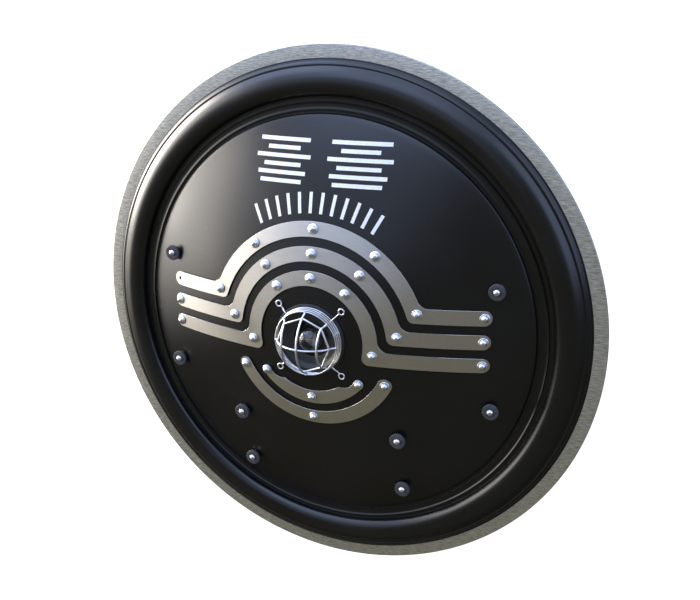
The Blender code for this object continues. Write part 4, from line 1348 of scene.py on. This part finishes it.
# %% Grip ribs of the lid
RIBS = 7
RIB_HALF_X, RIB_HALF_Y, RIB_RISE = 0.8 * MM, 9 * MM, 0.8 * MM
RIB_START, RIB_PITCH, RIB_SINK = 8 * MM, 3.2 * MM, 0.2 * MM
rib_levels = [(1, BOX_FOOT + RIB_SINK), (1, BOX_FOOT - RIB_RISE * 0.4), (0.5, BOX_FOOT - RIB_RISE)]
middle_y = (BOX_HIGH_Y + BOX_LOW_Y) / 2
ribs = bmesh.new()
for k in range(RIBS):
    middle_x = BOX_HALF_X - LID_INSET - RIB_START - RIB_PITCH * k
    loops = []
    for share, z in rib_levels:
        half_x, half_y = RIB_HALF_X * share, RIB_HALF_Y - RIB_HALF_X * (1 - share)
        corners = [(-1, -1), (1, -1), (1, 1), (-1, 1)]
        loops.append([(middle_x + sx * half_x, middle_y + sy * half_y, z) for sx, sy in corners])
    skin(ribs, loops)
grip = make_piece("battery_box_grip", ribs, lamp_black, [], sharp=30)
print("grip ribs:", len(grip.data.polygons), "faces")

# %% [markdown]
# ## The printed marks
#
# The front carries flat white print above the strips: two blocks of level bars, and a curved row of
# upright bars. Print is only colour, and it could be painted in the dish's material. As a film a few
# hundredths of a millimetre thick it keeps crisp edges at any distance, and it can be left out or changed
# by itself.

# %% A bar of print
FILM_FOOT, FILM = 0.01 * MM, 0.04 * MM


def bar_mesh(bm, start, end, half):
    """Adds one film bar from start to end in plan, laid on the dome."""
    a, b = Vector(start), Vector(end)
    along = (b - a).normalized()
    side = Vector((-along.y, along.x)) * half
    steps = max(2, round((b - a).length / (2 * MM)))
    loops = []
    for k in range(steps + 1):
        point = a + (b - a) * k / steps
        left, right = point + side, point - side
        ring = [(left, FILM_FOOT), (right, FILM_FOOT), (right, FILM), (left, FILM)]
        loops.append([(p.x, p.y, dome_height(p.x, p.y, up)) for p, up in ring])
    skin(bm, loops)


print("the print is", round((FILM - FILM_FOOT) * 1000, 2), "mm thick")

# %% [markdown]
# Each block is a stack of level bars, and the row is a fan of upright ones. The bars of a block could all
# be equally long, but then it would read as a plain grille. So long and short ones take turns, and the
# bars of the row lean out from the lamp's centre.

# %% Blocks and row
BLOCKS = ((-73 * MM, -12 * MM), (6 * MM, 72 * MM))
BLOCK_LOW, BLOCK_HIGH = 152 * MM, 191 * MM
BLOCK_DRAWS = (0.04, 0.2, 0.0, 0.16, 0.06, 0.12)
BLOCK_BAR_HALF = 1.9 * MM
ROW_BARS = 12
ROW_TURN = 28
ROW_REACH = (125.5 * MM, 145.5 * MM)
ROW_BAR_HALF = 1.7 * MM


def block_bars(left, right):
    """Level bars of one block: long and short in turn, from the top down."""
    bars = []
    for k, share in enumerate(BLOCK_DRAWS):
        y = BLOCK_HIGH - (BLOCK_HIGH - BLOCK_LOW) * k / (len(BLOCK_DRAWS) - 1)
        draw = (right - left) * share
        bars.append(((left + draw, y), (right - draw, y)))
    return bars


marks = bmesh.new()
for left, right in BLOCKS:
    for start, end in block_bars(left, right):
        bar_mesh(marks, start, end, BLOCK_BAR_HALF)
for k in range(ROW_BARS):
    lean = radians(90 + ROW_TURN - 2 * ROW_TURN * k / (ROW_BARS - 1))
    low, high = [(r * cos(lean), r * sin(lean) + LAMP_Y) for r in ROW_REACH]
    bar_mesh(marks, low, high, ROW_BAR_HALF)
print_film = make_piece("front_print_bars", marks, print_white, [])
print("print:", len(print_film.data.polygons), "faces")

# %% [markdown]
# ## Floor and light
#
# The floor is a plain pale sheet, as in a catalogue picture. A backdrop with nothing on it would need
# careful lamps to come out even. So the sheet glows a little, which hides the shadows, and it stays out
# of the reflections.

# %% Floor
bpy.ops.mesh.primitive_plane_add(size=40, location=(0, 0, -0.0005))
floor = bpy.context.object
floor.name = "floor"
floor_white, shader = new_finish("floor_white", (0.8, 0.8, 0.8), 0.9)
shader.inputs["Specular IOR Level"].default_value = 0
shader.inputs["Emission Color"].default_value = (1, 1, 1, 1)
shader.inputs["Emission Strength"].default_value = 0.95
floor.data.materials.append(floor_white)
floor.visible_glossy = False
print("floor laid")

# %% [markdown]
# All light comes from a soft room round the shield. Area lamps could light it, but their edges are hard
# in a glossy surface. So the world itself is painted with soft shapes. It is worked out from nodes that
# do sums, and two helpers make those: one for a step of arithmetic, and one for an edge that fades.

# %% Nodes that do sums
room = bpy.data.worlds.new("room")
bpy.context.scene.world = room
room.use_nodes = True
nodes, links = room.node_tree.nodes, room.node_tree.links
background = nodes["Background"]


def room_math(operation, first, second=None):
    """A Math node on numbers or on other nodes' results."""
    node = nodes.new("ShaderNodeMath")
    node.operation = operation
    for socket, value in zip(node.inputs, (first, second)):
        if value is None:
            continue
        if isinstance(value, (int, float)):
            socket.default_value = value
        else:
            links.new(value, socket)
    return node.outputs[0]


def fade(value, start, end):
    """1 while value is below start, and 0 beyond end, with a smooth change between."""
    ranged = nodes.new("ShaderNodeMapRange")
    ranged.interpolation_type = "SMOOTHSTEP"
    ranged.inputs["From Min"].default_value = start
    ranged.inputs["From Max"].default_value = end
    ranged.inputs["To Min"].default_value = 1
    ranged.inputs["To Max"].default_value = 0
    links.new(value, ranged.inputs["Value"])
    return ranged.outputs["Result"]


print("room helpers ready")

# %% [markdown]
# Each place in the room has a bearing round the shield and a height over the horizon. A patch is bright
# within so many degrees of its middle and fades outside. The room could be turned by a Mapping node in
# three angles. One turn about the upright axis is enough here, and it moves the seam where bearings jump
# from half a turn to minus half a turn out of the way, behind the shield's lower edge.

# %% Soft patches of light
FRONT = 80  # The bearing that counts as straight ahead, in degrees from the right-hand side to the top.

place = nodes.new("ShaderNodeTexCoord")
turned = nodes.new("ShaderNodeVectorRotate")
turned.rotation_type = "Z_AXIS"
turned.inputs["Angle"].default_value = radians(-FRONT)
links.new(place.outputs["Generated"], turned.inputs["Vector"])
axes = nodes.new("ShaderNodeSeparateXYZ")
links.new(turned.outputs["Vector"], axes.inputs["Vector"])
bearing = room_math("ARCTAN2", axes.outputs["Y"], axes.outputs["X"])
height = room_math("ARCSINE", axes.outputs["Z"])


def soft_patch(turn, wide, soft_turn, up, tall, soft_up):
    """A patch wide and tall degrees across its full-bright part, with soft edges round it."""
    off_turn = room_math("ABSOLUTE", room_math("SUBTRACT", bearing, radians(turn - FRONT)))
    off_up = room_math("ABSOLUTE", room_math("SUBTRACT", height, radians(up)))
    sides = fade(off_turn, radians(wide / 2), radians(wide / 2 + soft_turn))
    ends = fade(off_up, radians(tall / 2), radians(tall / 2 + soft_up))
    return room_math("MULTIPLY", sides, ends)


print("bearings are measured from", FRONT, "degrees")

# %% [markdown]
# Glossy black and bright metal show little else than what they mirror. A plain white room would make them
# flat and grey. So this one has the few soft shapes of a studio: a warm window low at the left, a wide
# cool sky above the top edge, a fainter one at the right, and a dim warm wall elsewhere.

# %% The room
WARM, COOL, WALL = (1.0, 0.94, 0.87), (0.68, 0.87, 1.38), (0.96, 0.9, 0.62)
patches = [
    # bearing, width, soft edge, height, tallness, soft edge, brightness, colour
    (166, 19, 11, -4, 22, 9, 20.5, WARM),
    (168, 26, 16, 8, 34, 14, 3.6, WARM),
    (178, 30, 14, 16, 26, 13, 2.1, WARM),
    (172, 20, 16, 34, 16, 14, 1.1, WARM),
    (98, 15, 45, 20, 40, 20, 2.1, COOL),
    (120, 60, 50, 58, 34, 30, 0.68, COOL),
    (130, 20, 16, 2, 26, 16, 2.5, COOL),
    (30, 30, 20, 8, 40, 14, 1.3, COOL),
    (28, 44, 12, 31, 6, 7, 1.4, COOL),
    (FRONT, 360, 10, 62, 56, 40, 0.13, WALL),
    (FRONT, 360, 10, 0, 180, 10, 0.05, WALL),
]
total = None
for *patch, bright, colour in patches:
    share = soft_patch(*patch)
    tint = nodes.new("ShaderNodeVectorMath")
    tint.operation = "SCALE"
    tint.inputs[0].default_value = [bright * part for part in colour]
    links.new(share, tint.inputs["Scale"])
    if total is None:
        total = tint.outputs["Vector"]
    else:
        added = nodes.new("ShaderNodeVectorMath")
        links.new(total, added.inputs[0])
        links.new(tint.outputs["Vector"], added.inputs[1])
        total = added.outputs["Vector"]
links.new(total, background.inputs["Color"])
bpy.context.scene.view_settings.view_transform = "Standard"
print("soft patches:", len(patches))
